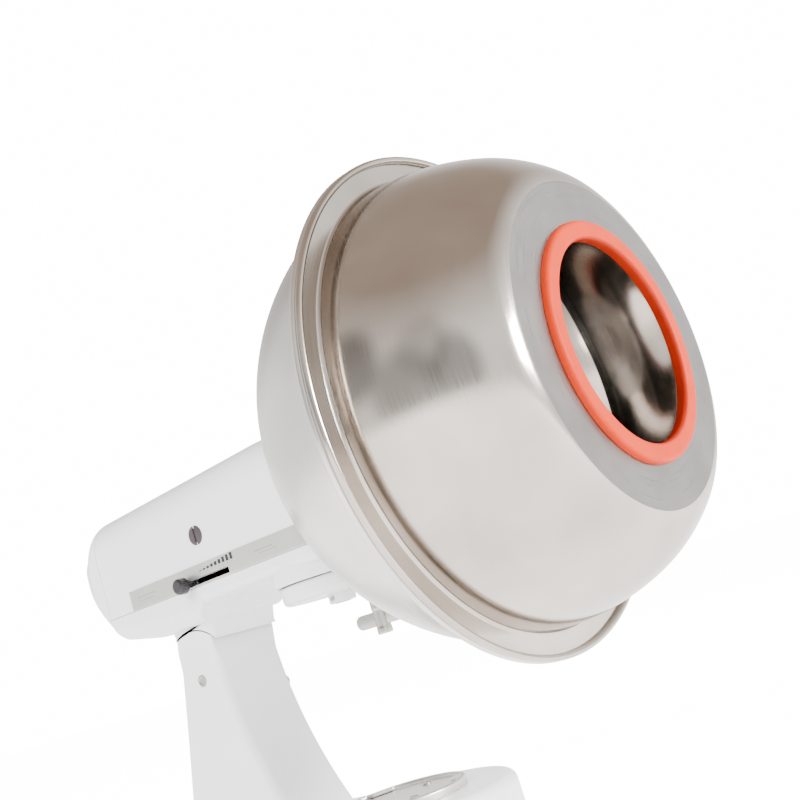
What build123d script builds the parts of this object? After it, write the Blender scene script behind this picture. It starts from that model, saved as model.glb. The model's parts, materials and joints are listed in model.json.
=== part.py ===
"""Tilt-head stand mixer with a coating pan on its power hub.

Millimetres. The origin is on the table, under the front of the power hub. +X points along the hub towards
the pan's mouth, +Y to the mixer's left and +Z up. The head is shown closed.
"""

import math
import os

from build123d import *

# ---------------------------------------------------------------- driving dimensions
# Main axes
hub_z = 310.0  # power hub and pan axis above the table
motor_z = 295.0  # armature axis above the table
planet_x = -16.5  # vertical axis of the planetary drive
beater_offset = 35.0  # beater shaft to planetary axis
pin_x = -171.5  # hinge pin of the tilting head
pin_z = 176.0
wheel_y = 22.0  # worm wheel shaft, to the left of the armature

# Coating pan
rim_x = 183.5  # plane where the two pan shells meet
rim_r = 195.0
sheet = 1.0  # wall of both pan shells
bead_r = 2.6  # rolled edge of each shell
rear_ball_r = 181.0
rear_ball_shift = 13.7  # centre of the rear shell's ball, ahead of the rim plane
back_r = 108.0  # flat back of the pan
body_r = 174.0  # front shell where it leaves the rim
front_arcs = ((176.0, 24.2), (114.0, 45.8), (27.5, 79.3))  # radius and end angle of each arc
mouth_r = 77.5
ring_inner_r = 73.6
ring_outer_r = 88.6
ring_lip = 5.55  # how far the mouth ring stands in front of the pan's face
ring_back_lip = 2.6

# Head
head_rear = -303.5
head_front = 44.0
head_half = 53.0
head_top = 353.0
head_bottom = 239.0
seam_z = 253.0  # joint between the top housing and the gear case
wall = 3.5
cover_wall = 3.0  # the rear cover is a thinner casting
cover_x = -255.0  # joint of the rear cover
band_rise = 18.0
band_thick = 0.9
band_rear = -218.5
boss_r = 52.5  # round boss that holds the ring gear
boss_bottom = 228.0

# Power hub
hub_front = 48.5
hub_tube_r = 25.0
socket_r = 17.0
socket_rear = 22.0
sleeve_r = 9.0
drive_square = 9.6
drive_shaft_r = 8.0
pan_bolt_circle_r = 32.0
pan_bolt_r = 2.5
pan_bolt_count = 4

# Gears: one module, with real backlash
module = 2.0
tooth_share = 0.40  # tooth thickness over pitch at the pitch line
addendum = 1.6
dedendum = 2.0
hub_teeth = 16
bevel_teeth = 24
centre_teeth = 36
pinion_teeth = 10
ring_teeth = 45
planet_teeth = 10
wheel_teeth = 15
bevel_face = 9.0
gear_face = 10.0
spur_z = 272.0
worm_r = 7.0
worm_turns = 3
fit_gap = 0.05  # radial clearance of a running shaft
play = 0.4  # gap between pieces that pass each other

# Motor
stator_front = -150.0
stator_length = 62.0
stator_r = 44.0
core_r = 26.5
air_gap = 0.6
shaft_r = 5.0
brush_x = -111.5
commutator_r = 15.0
cap_r = 8.5

# Planetary
planet_r = 48.0
planet_top = 227.5
planet_bottom = 212.0
beater_r = 6.35
beater_end = 169.0
beater_tip = 5.5  # full-size end of the shaft, below the relief for the bar
beater_relief = 0.25
bar_reach = 27.0
bar_height = 12.0
bar_thick = 4.0
bar_z = 182.0

# Base and column
base_r = 95.0
tail_end = -248.0
tail_half = 62.0
base_low = 9.0
base_top = 38.0
base_wall = 5.0
foot_r = 13.0
column_half = 37.0
lug_half = 20.0
seat_r = 44.0  # arched top of the column, about the hinge pin
pin_r = 5.5
plate_r = 55.0
column_bolt_r = 3.0
column_bolt_top = 62.0

# Speed lever, brushes, small parts
slot_z = 257.5
slot_half = 2.8
slot_rear = -142.0
slot_front = -81.0
lever_x = -136.5  # lever at its off position
thumb_x = 35.0
thumb_r = 4.0
thumb_knob_r = 11.0
thumb_knob_y = 49.0
gland_x = -273.0
bracket_x = -258.0
cover_screw_y = 18.0  # two screws, clear of the rear bearing
cover_screw_z = 299.0
cover_seat_x = -299.5  # seat of the screw heads
gear_floor = 240.0
shaft_boss_top = 266.0
wheel_boss_top = 262.0

# ---------------------------------------------------------------- derived values
worm_pitch = math.pi * module
wheel_r = wheel_teeth * module / 2
centre_r = centre_teeth * module / 2
pinion_r = pinion_teeth * module / 2
ring_r = ring_teeth * module / 2
planet_pitch_r = planet_teeth * module / 2
bevel_r = bevel_teeth * module / 2
hub_gear_r = hub_teeth * module / 2
gear_distance = centre_r + pinion_r
wheel_x = planet_x - math.sqrt(gear_distance**2 - wheel_y**2)
wheel_angle = math.degrees(math.atan2(wheel_y, wheel_x - planet_x))
beater_x = planet_x + beater_offset
stator_rear = stator_front - stator_length
foot_places = [(planet_x + 0.7 * base_r, 0.46 * base_r), (planet_x + 0.7 * base_r, -0.46 * base_r)]
foot_places += [(planet_x - 0.4 * base_r, 0.7 * base_r), (planet_x - 0.4 * base_r, -0.7 * base_r)]
foot_places += [(tail_end + 30.0, tail_half - 26.0), (tail_end + 30.0, 26.0 - tail_half)]
column_bolt_places = [(-204.0, 20.0), (-204.0, -20.0), (-138.0, 20.0), (-138.0, -20.0)]
plate_screw_places = []
for turn in (90.0, 210.0, 330.0):
    angle = math.radians(turn)
    plate_screw_places.append((planet_x + 34.0 * math.cos(angle), 34.0 * math.sin(angle)))
head_screw_y = head_half - wall - 3.0
head_screw_places = [(-240.0, head_screw_y), (-240.0, -head_screw_y)]
head_screw_places += [(-30.0, head_screw_y), (-30.0, -head_screw_y)]
slot_low, slot_high = slot_z - slot_half, slot_z + slot_half
column_room = [(-214.0, 84.0), (-206.0, 145.0), (-191.0, 205.0), (-188.0, 240.0)]
column_room += [(-150.0, 240.0), (-150.0, 205.0), (-144.5, 145.0), (-132.0, 84.0)]
band_top = seam_z + band_rise
pan_back_x = rim_x + rear_ball_shift - math.sqrt(rear_ball_r**2 - back_r**2)

hub_axis = Axis((0, 0, hub_z), (1, 0, 0))
hub_section = Plane(origin=(0, 0, hub_z), x_dir=(1, 0, 0), z_dir=(0, -1, 0))

os.makedirs("parts", exist_ok=True)


# ---------------------------------------------------------------- shared shapes
def disc_z(low, high, outer, x=0.0, y=0.0, bore=0.0, mode=Mode.ADD):
    """Adds or cuts an upright disc or tube between two heights."""
    with BuildSketch(Plane.XY.offset(low)) as ring:
        with Locations((x, y)):
            Circle(outer)
            if bore:
                Circle(bore, mode=Mode.SUBTRACT)
    extrude(ring.sketch, amount=high - low, mode=mode)


def disc_x(start, end, outer, y=0.0, z=hub_z, bore=0.0, mode=Mode.ADD):
    """Adds or cuts a disc or tube along X between two stations."""
    with BuildSketch(Plane(origin=(start, y, z), x_dir=(0, 1, 0), z_dir=(1, 0, 0))) as ring:
        Circle(outer)
        if bore:
            Circle(bore, mode=Mode.SUBTRACT)
    extrude(ring.sketch, amount=end - start, mode=mode)


def disc_y(start, end, outer, x=0.0, z=0.0, bore=0.0, mode=Mode.ADD):
    """Adds or cuts a disc or tube along Y between two stations."""
    with BuildSketch(Plane(origin=(x, start, z), x_dir=(1, 0, 0), z_dir=(0, 1, 0))) as ring:
        Circle(outer)
        if bore:
            Circle(bore, mode=Mode.SUBTRACT)
    extrude(ring.sketch, amount=end - start, mode=mode)


def block(low, high, mode=Mode.ADD):
    """Adds or cuts a box between two corners."""
    size = [b - a for a, b in zip(low, high)]
    with BuildSketch(Plane.XY.offset(low[2])) as base:
        with Locations(((low[0] + high[0]) / 2, (low[1] + high[1]) / 2)):
            Rectangle(size[0], size[1])
    extrude(base.sketch, amount=size[2], mode=mode)


def side_prism(points, half, mode=Mode.ADD):
    """Extrudes a side outline, given as X and Z points, to both sides of the middle."""
    with BuildSketch(Plane.XZ) as outline:
        with BuildLine():
            Polyline(*points, close=True)
        make_face()
    extrude(outline.sketch, amount=half, both=True, mode=mode)


def tooth_points(pitch_radius, depth_in, depth_out):
    """Corner points of a straight-flanked tooth that stands along +X."""
    half = tooth_share * math.pi * module / 2
    slope = math.tan(math.radians(20))
    low, high = pitch_radius - depth_in, pitch_radius + depth_out
    low_half, high_half = half + slope * depth_in, half - slope * depth_out
    return [(low, -low_half), (high, -high_half), (high, high_half), (low, low_half)]


def spur_gear(low, high, teeth, x, y, first_tooth, bore=0.0):
    """Adds an external gear about an upright axis, with one tooth at the given angle."""
    pitch_radius = teeth * module / 2
    with BuildSketch(Plane(origin=(x, y, low))) as gear:
        Circle(pitch_radius - dedendum)
        with PolarLocations(0, teeth, start_angle=first_tooth):
            Polygon(*tooth_points(pitch_radius, dedendum + 0.2, addendum), align=None)
        if bore:
            Circle(bore, mode=Mode.SUBTRACT)
    extrude(gear.sketch, amount=high - low)


def bevel_gear(axis_dir, first_dir, teeth, mate_teeth, apex, shift):
    """Adds a bevel gear whose pitch cone ends at the apex; shift turns its first tooth by that many teeth."""
    axis_dir = Vector(*axis_dir)
    first_dir = Vector(*first_dir)
    radius, reach = teeth * module / 2, mate_teeth * module / 2
    cone = math.atan2(radius, reach)
    outer = math.hypot(radius, reach)
    inner = outer - bevel_face
    apex = Vector(*apex)

    def on_cone(distance, lift):
        """Axial and radial place of a point at a distance from the apex, lifted off the pitch cone."""
        along = distance * math.cos(cone) - lift * math.sin(cone)
        out = distance * math.sin(cone) + lift * math.cos(cone)
        return (along, out)

    root = -dedendum
    root_in = root * inner / outer
    blank = [(on_cone(inner, root_in)[0], 0), on_cone(inner, root_in), on_cone(outer, root)]
    blank += [(reach + 5.0, radius - 5.0), (reach + 5.0, 0)]
    with BuildSketch(Plane(origin=apex, x_dir=axis_dir, z_dir=axis_dir.cross(first_dir))) as profile:
        with BuildLine():
            Polyline(*blank, close=True)
        make_face()
    revolve(profile.sketch, axis=Axis(apex, axis_dir))
    corners = [(out - radius, side) for out, side in tooth_points(radius, dedendum + 0.2, addendum)]
    for count in range(teeth):
        radial = first_dir.rotate(Axis((0, 0, 0), axis_dir), 360.0 * (count + shift) / teeth)
        element = radial * math.sin(cone) + axis_dir * math.cos(cone)
        tangent = axis_dir.cross(radial)
        sections = []
        for distance in (outer, inner):
            scale = distance / outer
            plane = Plane(origin=apex + element * distance, x_dir=tangent, z_dir=element * -1)
            with BuildSketch(plane) as section:
                Polygon(*[(side * scale, lift * scale) for lift, side in corners], align=None)
            sections.append(section.sketch)
        loft([face for sketch in sections for face in sketch.faces()])


def head_outline(inset):
    """Solid form of the head, inset from its skin: side, plan and end outlines meet."""
    top_rear = (-264.5, 345.0)
    side_points = [(head_front, 247.0), (head_front, 336.0), (22.0, head_top), (-40.0, head_top), top_rear]
    side_points += [(head_rear, 306.0), (-300.0, 292.0), (-252.0, 231.0), (-205.0, 223.0), (-136.0, 223.0)]
    side_points += [(-126.0, head_bottom), (36.0, head_bottom)]
    with BuildPart() as form:
        with BuildSketch(Plane.XZ):
            with BuildLine():
                Polyline(*side_points, close=True)
            make_face()
            if inset:
                offset(amount=-inset, kind=Kind.INTERSECTION)
        extrude(amount=head_half * 2, both=True)
        with BuildSketch(Plane.XY):
            with Locations(((head_front + head_rear) / 2, 0)):
                RectangleRounded(head_front - head_rear - 2 * inset, 2 * (head_half - inset), 42.0 - inset)
        extrude(amount=head_top * 2, mode=Mode.INTERSECT)
        with BuildSketch(Plane.YZ):
            with Locations((0, head_top - inset - head_half)):
                RectangleRounded(2 * (head_half - inset), 2 * head_half, 34.0 - inset)
            with Locations((0, head_bottom)):
                Rectangle(2 * (head_half - inset), 2 * head_half)
        extrude(amount=head_front - head_rear + 100, both=True, mode=Mode.INTERSECT)
    return form.part


head_skin = head_outline(0.0)
head_room = head_outline(wall)
cover_room = head_outline(cover_wall)
band_skin = head_outline(-band_thick)


def head_shell(low, high, room=head_room):
    """The part of the head's skin, around a room, that lies between two corners of a box."""
    with BuildPart() as shell:
        add(head_skin)
        add(room, mode=Mode.SUBTRACT)
        block(low, high, mode=Mode.INTERSECT)
    return shell.part


# ---------------------------------------------------------------- base and column
with BuildPart() as base_casting:
    with BuildSketch(Plane.XY.offset(base_low)) as base_plan:
        with Locations((planet_x, 0)):
            Circle(base_r)
        with Locations(((planet_x + tail_end) / 2, 0)):
            RectangleRounded(planet_x - tail_end, 2 * tail_half, 30.0)
    extrude(amount=base_top - base_low)
    fillet(base_casting.faces().sort_by(Axis.Z)[-1].edges(), 8.0)
    with BuildSketch(Plane.XY.offset(base_low)):
        add(base_plan.sketch.faces()[0].moved(Location((0, 0, -base_low))))
        offset(amount=-base_wall)
    extrude(amount=base_top - base_low - base_wall, mode=Mode.SUBTRACT)
    for foot_x, foot_y in foot_places:
        disc_z(base_low, base_top - base_wall, foot_r - 2.0, foot_x, foot_y)
    for bolt_x, bolt_y in column_bolt_places:
        disc_z(base_low, base_top, 3.2, bolt_x, bolt_y, mode=Mode.SUBTRACT)
    for screw_x, screw_y in plate_screw_places:
        disc_z(base_top - 4.0, base_top, 2.0, screw_x, screw_y, mode=Mode.SUBTRACT)

with BuildPart() as rubber_feet:
    for foot_x, foot_y in foot_places:
        disc_z(0.0, base_low, foot_r, foot_x, foot_y)

plate_top = base_top + 7.0
with BuildPart() as bowl_clamp_plate:
    disc_z(base_top, base_top + 4.0, plate_r, planet_x)
    disc_z(base_top, plate_top, plate_r, planet_x, bore=plate_r - 3.5)
    with BuildSketch(Plane.XY.offset(base_top + 4.5)):
        with Locations((planet_x, 0)):
            with PolarLocations(plate_r - 6.0, 3, start_angle=30):
                Rectangle(9.0, 22.0)
    extrude(amount=plate_top - base_top - 4.5)
    for screw_x, screw_y in plate_screw_places:
        disc_z(base_top, plate_top, 2.2, screw_x, screw_y, mode=Mode.SUBTRACT)

with BuildPart() as clamp_plate_screws:
    for screw_x, screw_y in plate_screw_places:
        disc_z(base_top - 4.0, base_top + 4.0, 2.0, screw_x, screw_y)
        disc_z(base_top + 4.0, base_top + 6.4, 4.0, screw_x, screw_y)

seat_rear = math.radians(118.0)  # rear and front ends of the arched seat, from +X about the pin
seat_front = math.radians(53.0)
seat_rear_point = (pin_x + seat_r * math.cos(seat_rear), pin_z + seat_r * math.sin(seat_rear))
seat_front_point = (pin_x + seat_r * math.cos(seat_front), pin_z + seat_r * math.sin(seat_front))
seat_top_point = (pin_x, pin_z + seat_r)
lock_x = pin_x + 20.0
lock_z = pin_z - 22.0
lock_r = 3.5
lock_arm = 34.0
with BuildPart() as column_casting:
    with BuildSketch(Plane.XZ) as column_side:
        with BuildLine():
            ThreePointArc(seat_rear_point, seat_top_point, seat_front_point)
            ThreePointArc(seat_front_point, (-139.0, 145.0), (-100.0, base_top))
            Line((-100.0, base_top), (-243.0, base_top))
            ThreePointArc((-243.0, base_top), (-211.0, 145.0), seat_rear_point)
        make_face()
    extrude(amount=column_half, both=True)
    side_prism(column_room, lug_half + play, mode=Mode.SUBTRACT)
    disc_y(-column_half, column_half, pin_r, pin_x, pin_z, mode=Mode.SUBTRACT)
    disc_y(0, column_half, lock_r + fit_gap, lock_x, lock_z, mode=Mode.SUBTRACT)
    for bolt_x, bolt_y in column_bolt_places:
        disc_z(base_top, column_bolt_top, column_bolt_r, bolt_x, bolt_y, mode=Mode.SUBTRACT)

with BuildPart() as column_bolts:
    for bolt_x, bolt_y in column_bolt_places:
        disc_z(base_top - base_wall, column_bolt_top, column_bolt_r, bolt_x, bolt_y)
        disc_z(base_top - base_wall - 4.0, base_top - base_wall, 2 * column_bolt_r, bolt_x, bolt_y)

with BuildPart() as hinge_pin:
    disc_y(-column_half, column_half, pin_r, pin_x, pin_z)

with BuildPart() as lock_lever:
    disc_y(lug_half - 6.0, column_half + 3.0, lock_r, lock_x, lock_z)
    block((lock_x - 3.0, lug_half - 12.0, lock_z - 13.0), (lock_x + 3.0, lug_half - 6.0, lock_z + lock_r))
    disc_y(column_half + play, column_half + 4.0, 5.0, lock_x, lock_z)
    block((lock_x - lock_arm, column_half + 0.8, lock_z - 4.0), (lock_x, column_half + 4.0, lock_z + 4.0))

with BuildPart() as lock_knob:
    disc_y(column_half + 4.0, column_half + 13.0, 7.0, lock_x - lock_arm + 7.0, lock_z)

# ---------------------------------------------------------------- head castings
lug_low, lug_high = math.radians(63.0), math.radians(86.0)  # sides of the hinge arm, from +X about the pin
arm_reach = 62.0
with BuildPart() as gear_case:
    add(head_shell((cover_x, -60.0, 200.0), (head_front + 1.0, 60.0, seam_z)))
    side_prism([(-196.0, 226.0), (-192.0, 208.0), (-140.0, 208.0), (-134.0, 226.0)], column_half)
    disc_y(-60.0, 60.0, seat_r + 0.8, pin_x, pin_z, mode=Mode.SUBTRACT)
    arm = [(pin_x, pin_z), (pin_x + arm_reach * math.cos(lug_low), pin_z + arm_reach * math.sin(lug_low))]
    arm += [(pin_x + arm_reach * math.cos(lug_high), pin_z + arm_reach * math.sin(lug_high))]
    side_prism(arm, lug_half)
    disc_y(-lug_half, lug_half, 15.0, pin_x, pin_z)
    block((pin_x - 5.0, -lug_half, pin_z - 24.0), (pin_x + 5.0, lug_half, pin_z))
    disc_y(-lug_half, lug_half, pin_r + fit_gap, pin_x, pin_z, mode=Mode.SUBTRACT)
    disc_z(boss_bottom, gear_floor + 3.0, boss_r, planet_x)
    disc_z(boss_bottom, gear_floor, ring_r + 4.5, planet_x, mode=Mode.SUBTRACT)
    disc_z(gear_floor, shaft_boss_top, 14.0, planet_x)
    disc_z(gear_floor, shaft_boss_top, 10.0, planet_x, mode=Mode.SUBTRACT)
    disc_z(gear_floor, wheel_boss_top, 11.0, wheel_x, wheel_y)
    disc_z(gear_floor + 3.0, wheel_boss_top, 8.0, wheel_x, wheel_y, mode=Mode.SUBTRACT)
    for screw_x, screw_y in head_screw_places:
        disc_z(seam_z - 10.0, seam_z, 5.0, screw_x, screw_y)
        disc_z(seam_z - 10.0, seam_z, 2.0, screw_x, screw_y, mode=Mode.SUBTRACT)

with BuildPart() as head_housing:
    add(head_shell((cover_x, -60.0, seam_z), (head_front + 1.0, 60.0, head_top + 1.0)))
    disc_x(socket_rear - 6.0, hub_front, hub_tube_r)
    disc_x(socket_rear - 7.0, socket_rear, sleeve_r + 4.0, mode=Mode.SUBTRACT)
    disc_x(socket_rear, hub_front, socket_r, mode=Mode.SUBTRACT)
    disc_y(0, 60, thumb_r + fit_gap, thumb_x, hub_z, mode=Mode.SUBTRACT)
    disc_y(-60, 60, cap_r, brush_x, motor_z, mode=Mode.SUBTRACT)
    block((slot_rear, -60, slot_low), (slot_front, -40, slot_high), mode=Mode.SUBTRACT)
    for screw_x, screw_y in head_screw_places:
        disc_z(seam_z, seam_z + 14.0, 5.0, screw_x, screw_y)
        disc_z(seam_z, seam_z + 8.0, 2.0, screw_x, screw_y, mode=Mode.SUBTRACT)

with BuildPart() as rear_cover:
    add(head_shell((head_rear - 1.0, -60.0, 200.0), (cover_x, 60.0, head_top + 1.0), cover_room))
    for screw_y in (-cover_screw_y, cover_screw_y):
        disc_x(cover_seat_x - 0.5, cover_seat_x + 10.0, 6.0, screw_y, cover_screw_z)
        disc_x(head_rear - 5.0, cover_seat_x, 4.9, screw_y, cover_screw_z, mode=Mode.SUBTRACT)
        disc_x(cover_seat_x, cover_seat_x + 10.0, 2.2, screw_y, cover_screw_z, mode=Mode.SUBTRACT)
    disc_z(200.0, 262.0, 6.0, gland_x, mode=Mode.SUBTRACT)

with BuildPart() as rear_cover_screws:
    for screw_y in (-cover_screw_y, cover_screw_y):
        disc_x(cover_seat_x - 3.0, cover_seat_x, 4.6, screw_y, cover_screw_z)
        disc_x(cover_seat_x, bracket_x + 6.0, 2.0, screw_y, cover_screw_z)

with BuildPart() as cord_gland:
    disc_z(240.0, 262.0, 6.0, gland_x, bore=3.6)

with BuildPart() as trim_band:
    add(band_skin)
    add(head_skin, mode=Mode.SUBTRACT)
    block((head_rear - 5, -60, 200), (head_front + 5, 60, seam_z + 0.6), mode=Mode.SUBTRACT)
    block((head_rear - 5, -60, band_top), (head_front + 5, 60, head_top + 5), mode=Mode.SUBTRACT)
    block((head_rear - 5, -60, 200), (band_rear, 60, head_top + 5), mode=Mode.SUBTRACT)
    block((slot_rear, -60, slot_low), (slot_front, 0, slot_high), mode=Mode.SUBTRACT)

with BuildPart() as head_screws:
    for screw_x, screw_y in head_screw_places:
        disc_z(seam_z - 10.0, seam_z + 8.0, 2.0, screw_x, screw_y)


# ---------------------------------------------------------------- motor

with BuildPart() as motor_stator:
    disc_x(stator_rear, stator_front, stator_r, z=motor_z, bore=core_r + air_gap)

with BuildPart() as stator_coils:
    disc_x(stator_front, stator_front + 12.0, stator_r - 4.0, z=motor_z, bore=core_r + 3.0)
    disc_x(stator_rear - 12.0, stator_rear, stator_r - 4.0, z=motor_z, bore=core_r + 3.0)

with BuildPart() as rear_bracket:
    disc_x(bracket_x, bracket_x + 6.0, stator_r, z=motor_z)
    disc_x(bracket_x - 8.0, bracket_x, 14.0, z=motor_z)
    disc_x(bracket_x - 8.0, bracket_x + 6.0, 10.0, z=motor_z, mode=Mode.SUBTRACT)
    for screw_y in (-cover_screw_y, cover_screw_y):
        disc_x(bracket_x, bracket_x + 6.0, 2.0, screw_y, cover_screw_z, mode=Mode.SUBTRACT)

with BuildPart() as motor_end_frame:
    disc_x(-95.0, -83.0, stator_r - 1.0, z=motor_z)
    disc_x(-95.0, -88.0, stator_r - 5.0, z=motor_z, bore=14.0, mode=Mode.SUBTRACT)
    disc_x(-95.0, -83.0, 10.0, z=motor_z, mode=Mode.SUBTRACT)

with BuildPart() as motor_bearings:
    disc_x(-94.0, -84.0, 10.0, z=motor_z, bore=shaft_r + fit_gap)
    disc_x(bracket_x - 7.0, bracket_x + 4.0, 10.0, z=motor_z, bore=shaft_r + fit_gap)

worm_shaft_r = 3.5
worm_root_r = worm_r - dedendum
worm_length = worm_turns * worm_pitch
worm_start = wheel_x - worm_length / 2
with BuildPart() as armature_shaft:
    disc_x(bracket_x - 6.0, worm_start - 2.0, shaft_r, z=motor_z)
    disc_x(worm_start - 2.0, worm_start + worm_length + 2.0, worm_shaft_r, z=motor_z)

with BuildPart() as worm:
    disc_x(worm_start - 2.0, worm_start + worm_length + 2.0, worm_root_r + 0.2, z=motor_z)
    helix_start = worm_start + worm_pitch / 4
    helix_height = worm_length - worm_pitch / 2
    with BuildLine():
        thread_path = Helix(worm_pitch, helix_height, worm_r, (helix_start, 0, motor_z), (1, 0, 0))
    with BuildSketch(Plane(thread_path @ 0, x_dir=(1, 0, 0), z_dir=thread_path % 0)):
        half = tooth_share * worm_pitch / 2 - 0.25
        foot_half, tip_half = half + 0.6, half - 0.5
        thread = [(-foot_half, -1.9), (foot_half, -1.9), (tip_half, addendum), (-tip_half, addendum)]
        Polygon(*thread, align=None)
    sweep(path=thread_path, is_frenet=True)
    disc_x(worm_start - 2.0, worm_start + worm_length + 2.0, worm_shaft_r, z=motor_z, mode=Mode.SUBTRACT)

with BuildPart() as armature_core:
    disc_x(stator_rear, stator_front, core_r, z=motor_z, bore=shaft_r)
    with BuildSketch(Plane(origin=(stator_rear, 0, motor_z), x_dir=(0, 1, 0), z_dir=(1, 0, 0))):
        with PolarLocations(core_r - 3.0, 12):
            Rectangle(9.0, 2.4)
    extrude(amount=stator_length, mode=Mode.SUBTRACT)

with BuildPart() as commutator:
    disc_x(brush_x - 10.0, brush_x + 10.0, commutator_r, z=motor_z, bore=shaft_r)
    disc_x(brush_x - 13.0, brush_x - 10.0, commutator_r + 2.0, z=motor_z, bore=shaft_r)

with BuildPart() as cooling_fan:
    disc_x(-247.0, -245.0, 36.0, z=motor_z, bore=shaft_r)
    disc_x(-245.0, -234.0, 9.0, z=motor_z, bore=shaft_r)
    with BuildSketch(Plane(origin=(-245.0, 0, motor_z), x_dir=(0, 1, 0), z_dir=(1, 0, 0))):
        with PolarLocations(22.0, 9):
            Rectangle(27.0, 1.6)
    extrude(amount=10.0)

with BuildPart() as brush_holders:
    for side in (-1, 1):
        disc_y(side * 17.5, side * 46.0, 6.0, brush_x, motor_z, bore=4.4)

with BuildPart() as carbon_brushes:
    for side in (-1, 1):
        near, far = sorted((side * (commutator_r + 0.2), side * 32.0))
        block((brush_x - 3.0, near, motor_z - 3.0), (brush_x + 3.0, far, motor_z + 3.0))

with BuildPart() as brush_springs:
    for side in (-1, 1):
        with BuildLine(mode=Mode.PRIVATE) as coil:
            Helix(2.6, 12.4, 3.2, (brush_x, side * 32.8, motor_z), (0, side, 0))
        with BuildSketch(Plane(coil.line @ 0, z_dir=coil.line % 0), mode=Mode.PRIVATE) as wire:
            Circle(0.5)
        sweep(wire.sketch, path=coil.line)

with BuildPart() as brush_caps:
    for side in (-1, 1):
        disc_y(side * 46.0, side * (head_half + 1.0), cap_r, brush_x, motor_z)
        edge_low, edge_high = sorted((side * (head_half - 1.5), side * (head_half + 1.0)))
        slot_start = (brush_x - cap_r - 0.5, edge_low, motor_z - 0.9)
        block(slot_start, (brush_x + cap_r + 0.5, edge_high, motor_z + 0.9), mode=Mode.SUBTRACT)

with BuildPart() as control_board:
    block((-136.0, -26.0, 328.0), (-97.0, 26.0, 329.6))
    block((-133.0, -20.0, 329.6), (-121.0, -6.0, 338.0))
    block((-115.0, -20.0, 329.6), (-103.0, 18.0, 335.0))
    block((-133.0, 4.0, 329.6), (-123.0, 20.0, 334.0))

# ---------------------------------------------------------------- gear train
with BuildPart() as wheel_bush:
    disc_z(gear_floor + 3.0, wheel_boss_top, 8.0, wheel_x, wheel_y, bore=shaft_r + fit_gap)

with BuildPart() as wheel_shaft:
    disc_z(gear_floor + 3.5, 300.0, shaft_r, wheel_x, wheel_y)

with BuildPart() as worm_wheel:
    spur_gear(motor_z - 3.0, motor_z + 3.0, wheel_teeth, wheel_x, wheel_y, -90.0, shaft_r)
    disc_z(spur_z + gear_face, motor_z - 3.0, 9.0, wheel_x, wheel_y, bore=shaft_r)

with BuildPart() as drive_pinion:
    pinion_first = wheel_angle + 180.0 + 180.0 / pinion_teeth
    spur_gear(spur_z, spur_z + gear_face, pinion_teeth, wheel_x, wheel_y, pinion_first, shaft_r)

centre_shaft_r = 7.0
with BuildPart() as centre_bushes:
    disc_z(gear_floor, shaft_boss_top, 10.0, planet_x, bore=centre_shaft_r + fit_gap)

with BuildPart() as centre_shaft:
    disc_z(203.5, 299.0, centre_shaft_r, planet_x)
    disc_y(-12.0, 12.0, 2.0, planet_x, 208.5, mode=Mode.SUBTRACT)

gear_apex = (planet_x, 0, hub_z)
with BuildPart() as centre_gear:
    spur_gear(spur_z, spur_z + gear_face, centre_teeth, planet_x, 0, wheel_angle)
    disc_z(spur_z + gear_face, hub_z - hub_gear_r - 4.0, 15.0, planet_x)
    bevel_gear((0, 0, -1), (1, 0, 0), bevel_teeth, hub_teeth, gear_apex, 0.0)
    disc_z(spur_z, hub_z, centre_shaft_r, planet_x, mode=Mode.SUBTRACT)

with BuildPart() as hub_bevel_gear:
    bevel_gear((1, 0, 0), (0, 0, -1), hub_teeth, bevel_teeth, gear_apex, 0.5)
    disc_x(planet_x + bevel_r + 5.0, socket_rear - 0.4, sleeve_r)
    tail_half_side = drive_square / 2
    square_low = (planet_x, -tail_half_side, hub_z - tail_half_side)
    block(square_low, (socket_rear, tail_half_side, hub_z + tail_half_side), mode=Mode.SUBTRACT)

with BuildPart() as hub_bushes:
    disc_x(socket_rear - 6.0, socket_rear, sleeve_r + 4.0, bore=sleeve_r + fit_gap)
    disc_x(socket_rear + 1.0, hub_front, 12.0, bore=drive_shaft_r + fit_gap)

with BuildPart() as adapter_tube:
    disc_x(socket_rear, hub_front + 1.5, socket_r, bore=12.0)

with BuildPart() as ring_gear:
    root_ring = ring_r + dedendum
    with BuildSketch(Plane(origin=(planet_x, 0, boss_bottom + 1.0))):
        Circle(ring_r + 4.5)
        Circle(root_ring, mode=Mode.SUBTRACT)
        with PolarLocations(0, ring_teeth, start_angle=180.0 / ring_teeth):
            half = tooth_share * math.pi * module / 2
            slope = math.tan(math.radians(20))
            low_half, tip_half = half + slope * dedendum, half - slope * addendum
            tooth = [(root_ring + 0.3, -low_half), (root_ring + 0.3, low_half)]
            tooth += [(ring_r - addendum, tip_half), (ring_r - addendum, -tip_half)]
            Polygon(*tooth, align=None)
    extrude(amount=gear_floor - boss_bottom - 1.0)

with BuildPart() as planetary_housing:
    disc_z(planet_bottom, planet_top, planet_r, planet_x)
    disc_z(planet_bottom + 4.0, planet_top, planet_r - 4.0, planet_x, mode=Mode.SUBTRACT)
    disc_z(204.0, gear_floor - 0.6, 11.5, planet_x)
    disc_z(206.0, planet_top + 0.8, 11.5, beater_x)
    disc_z(203.0, gear_floor, centre_shaft_r, planet_x, mode=Mode.SUBTRACT)
    disc_z(205.0, gear_floor, beater_r + fit_gap, beater_x, mode=Mode.SUBTRACT)
    disc_y(-14.0, 14.0, 2.0, planet_x, 208.5, mode=Mode.SUBTRACT)

with BuildPart() as roll_pin:
    disc_y(-12.4, 12.4, 2.0, planet_x, 208.5, bore=0.9)

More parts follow.
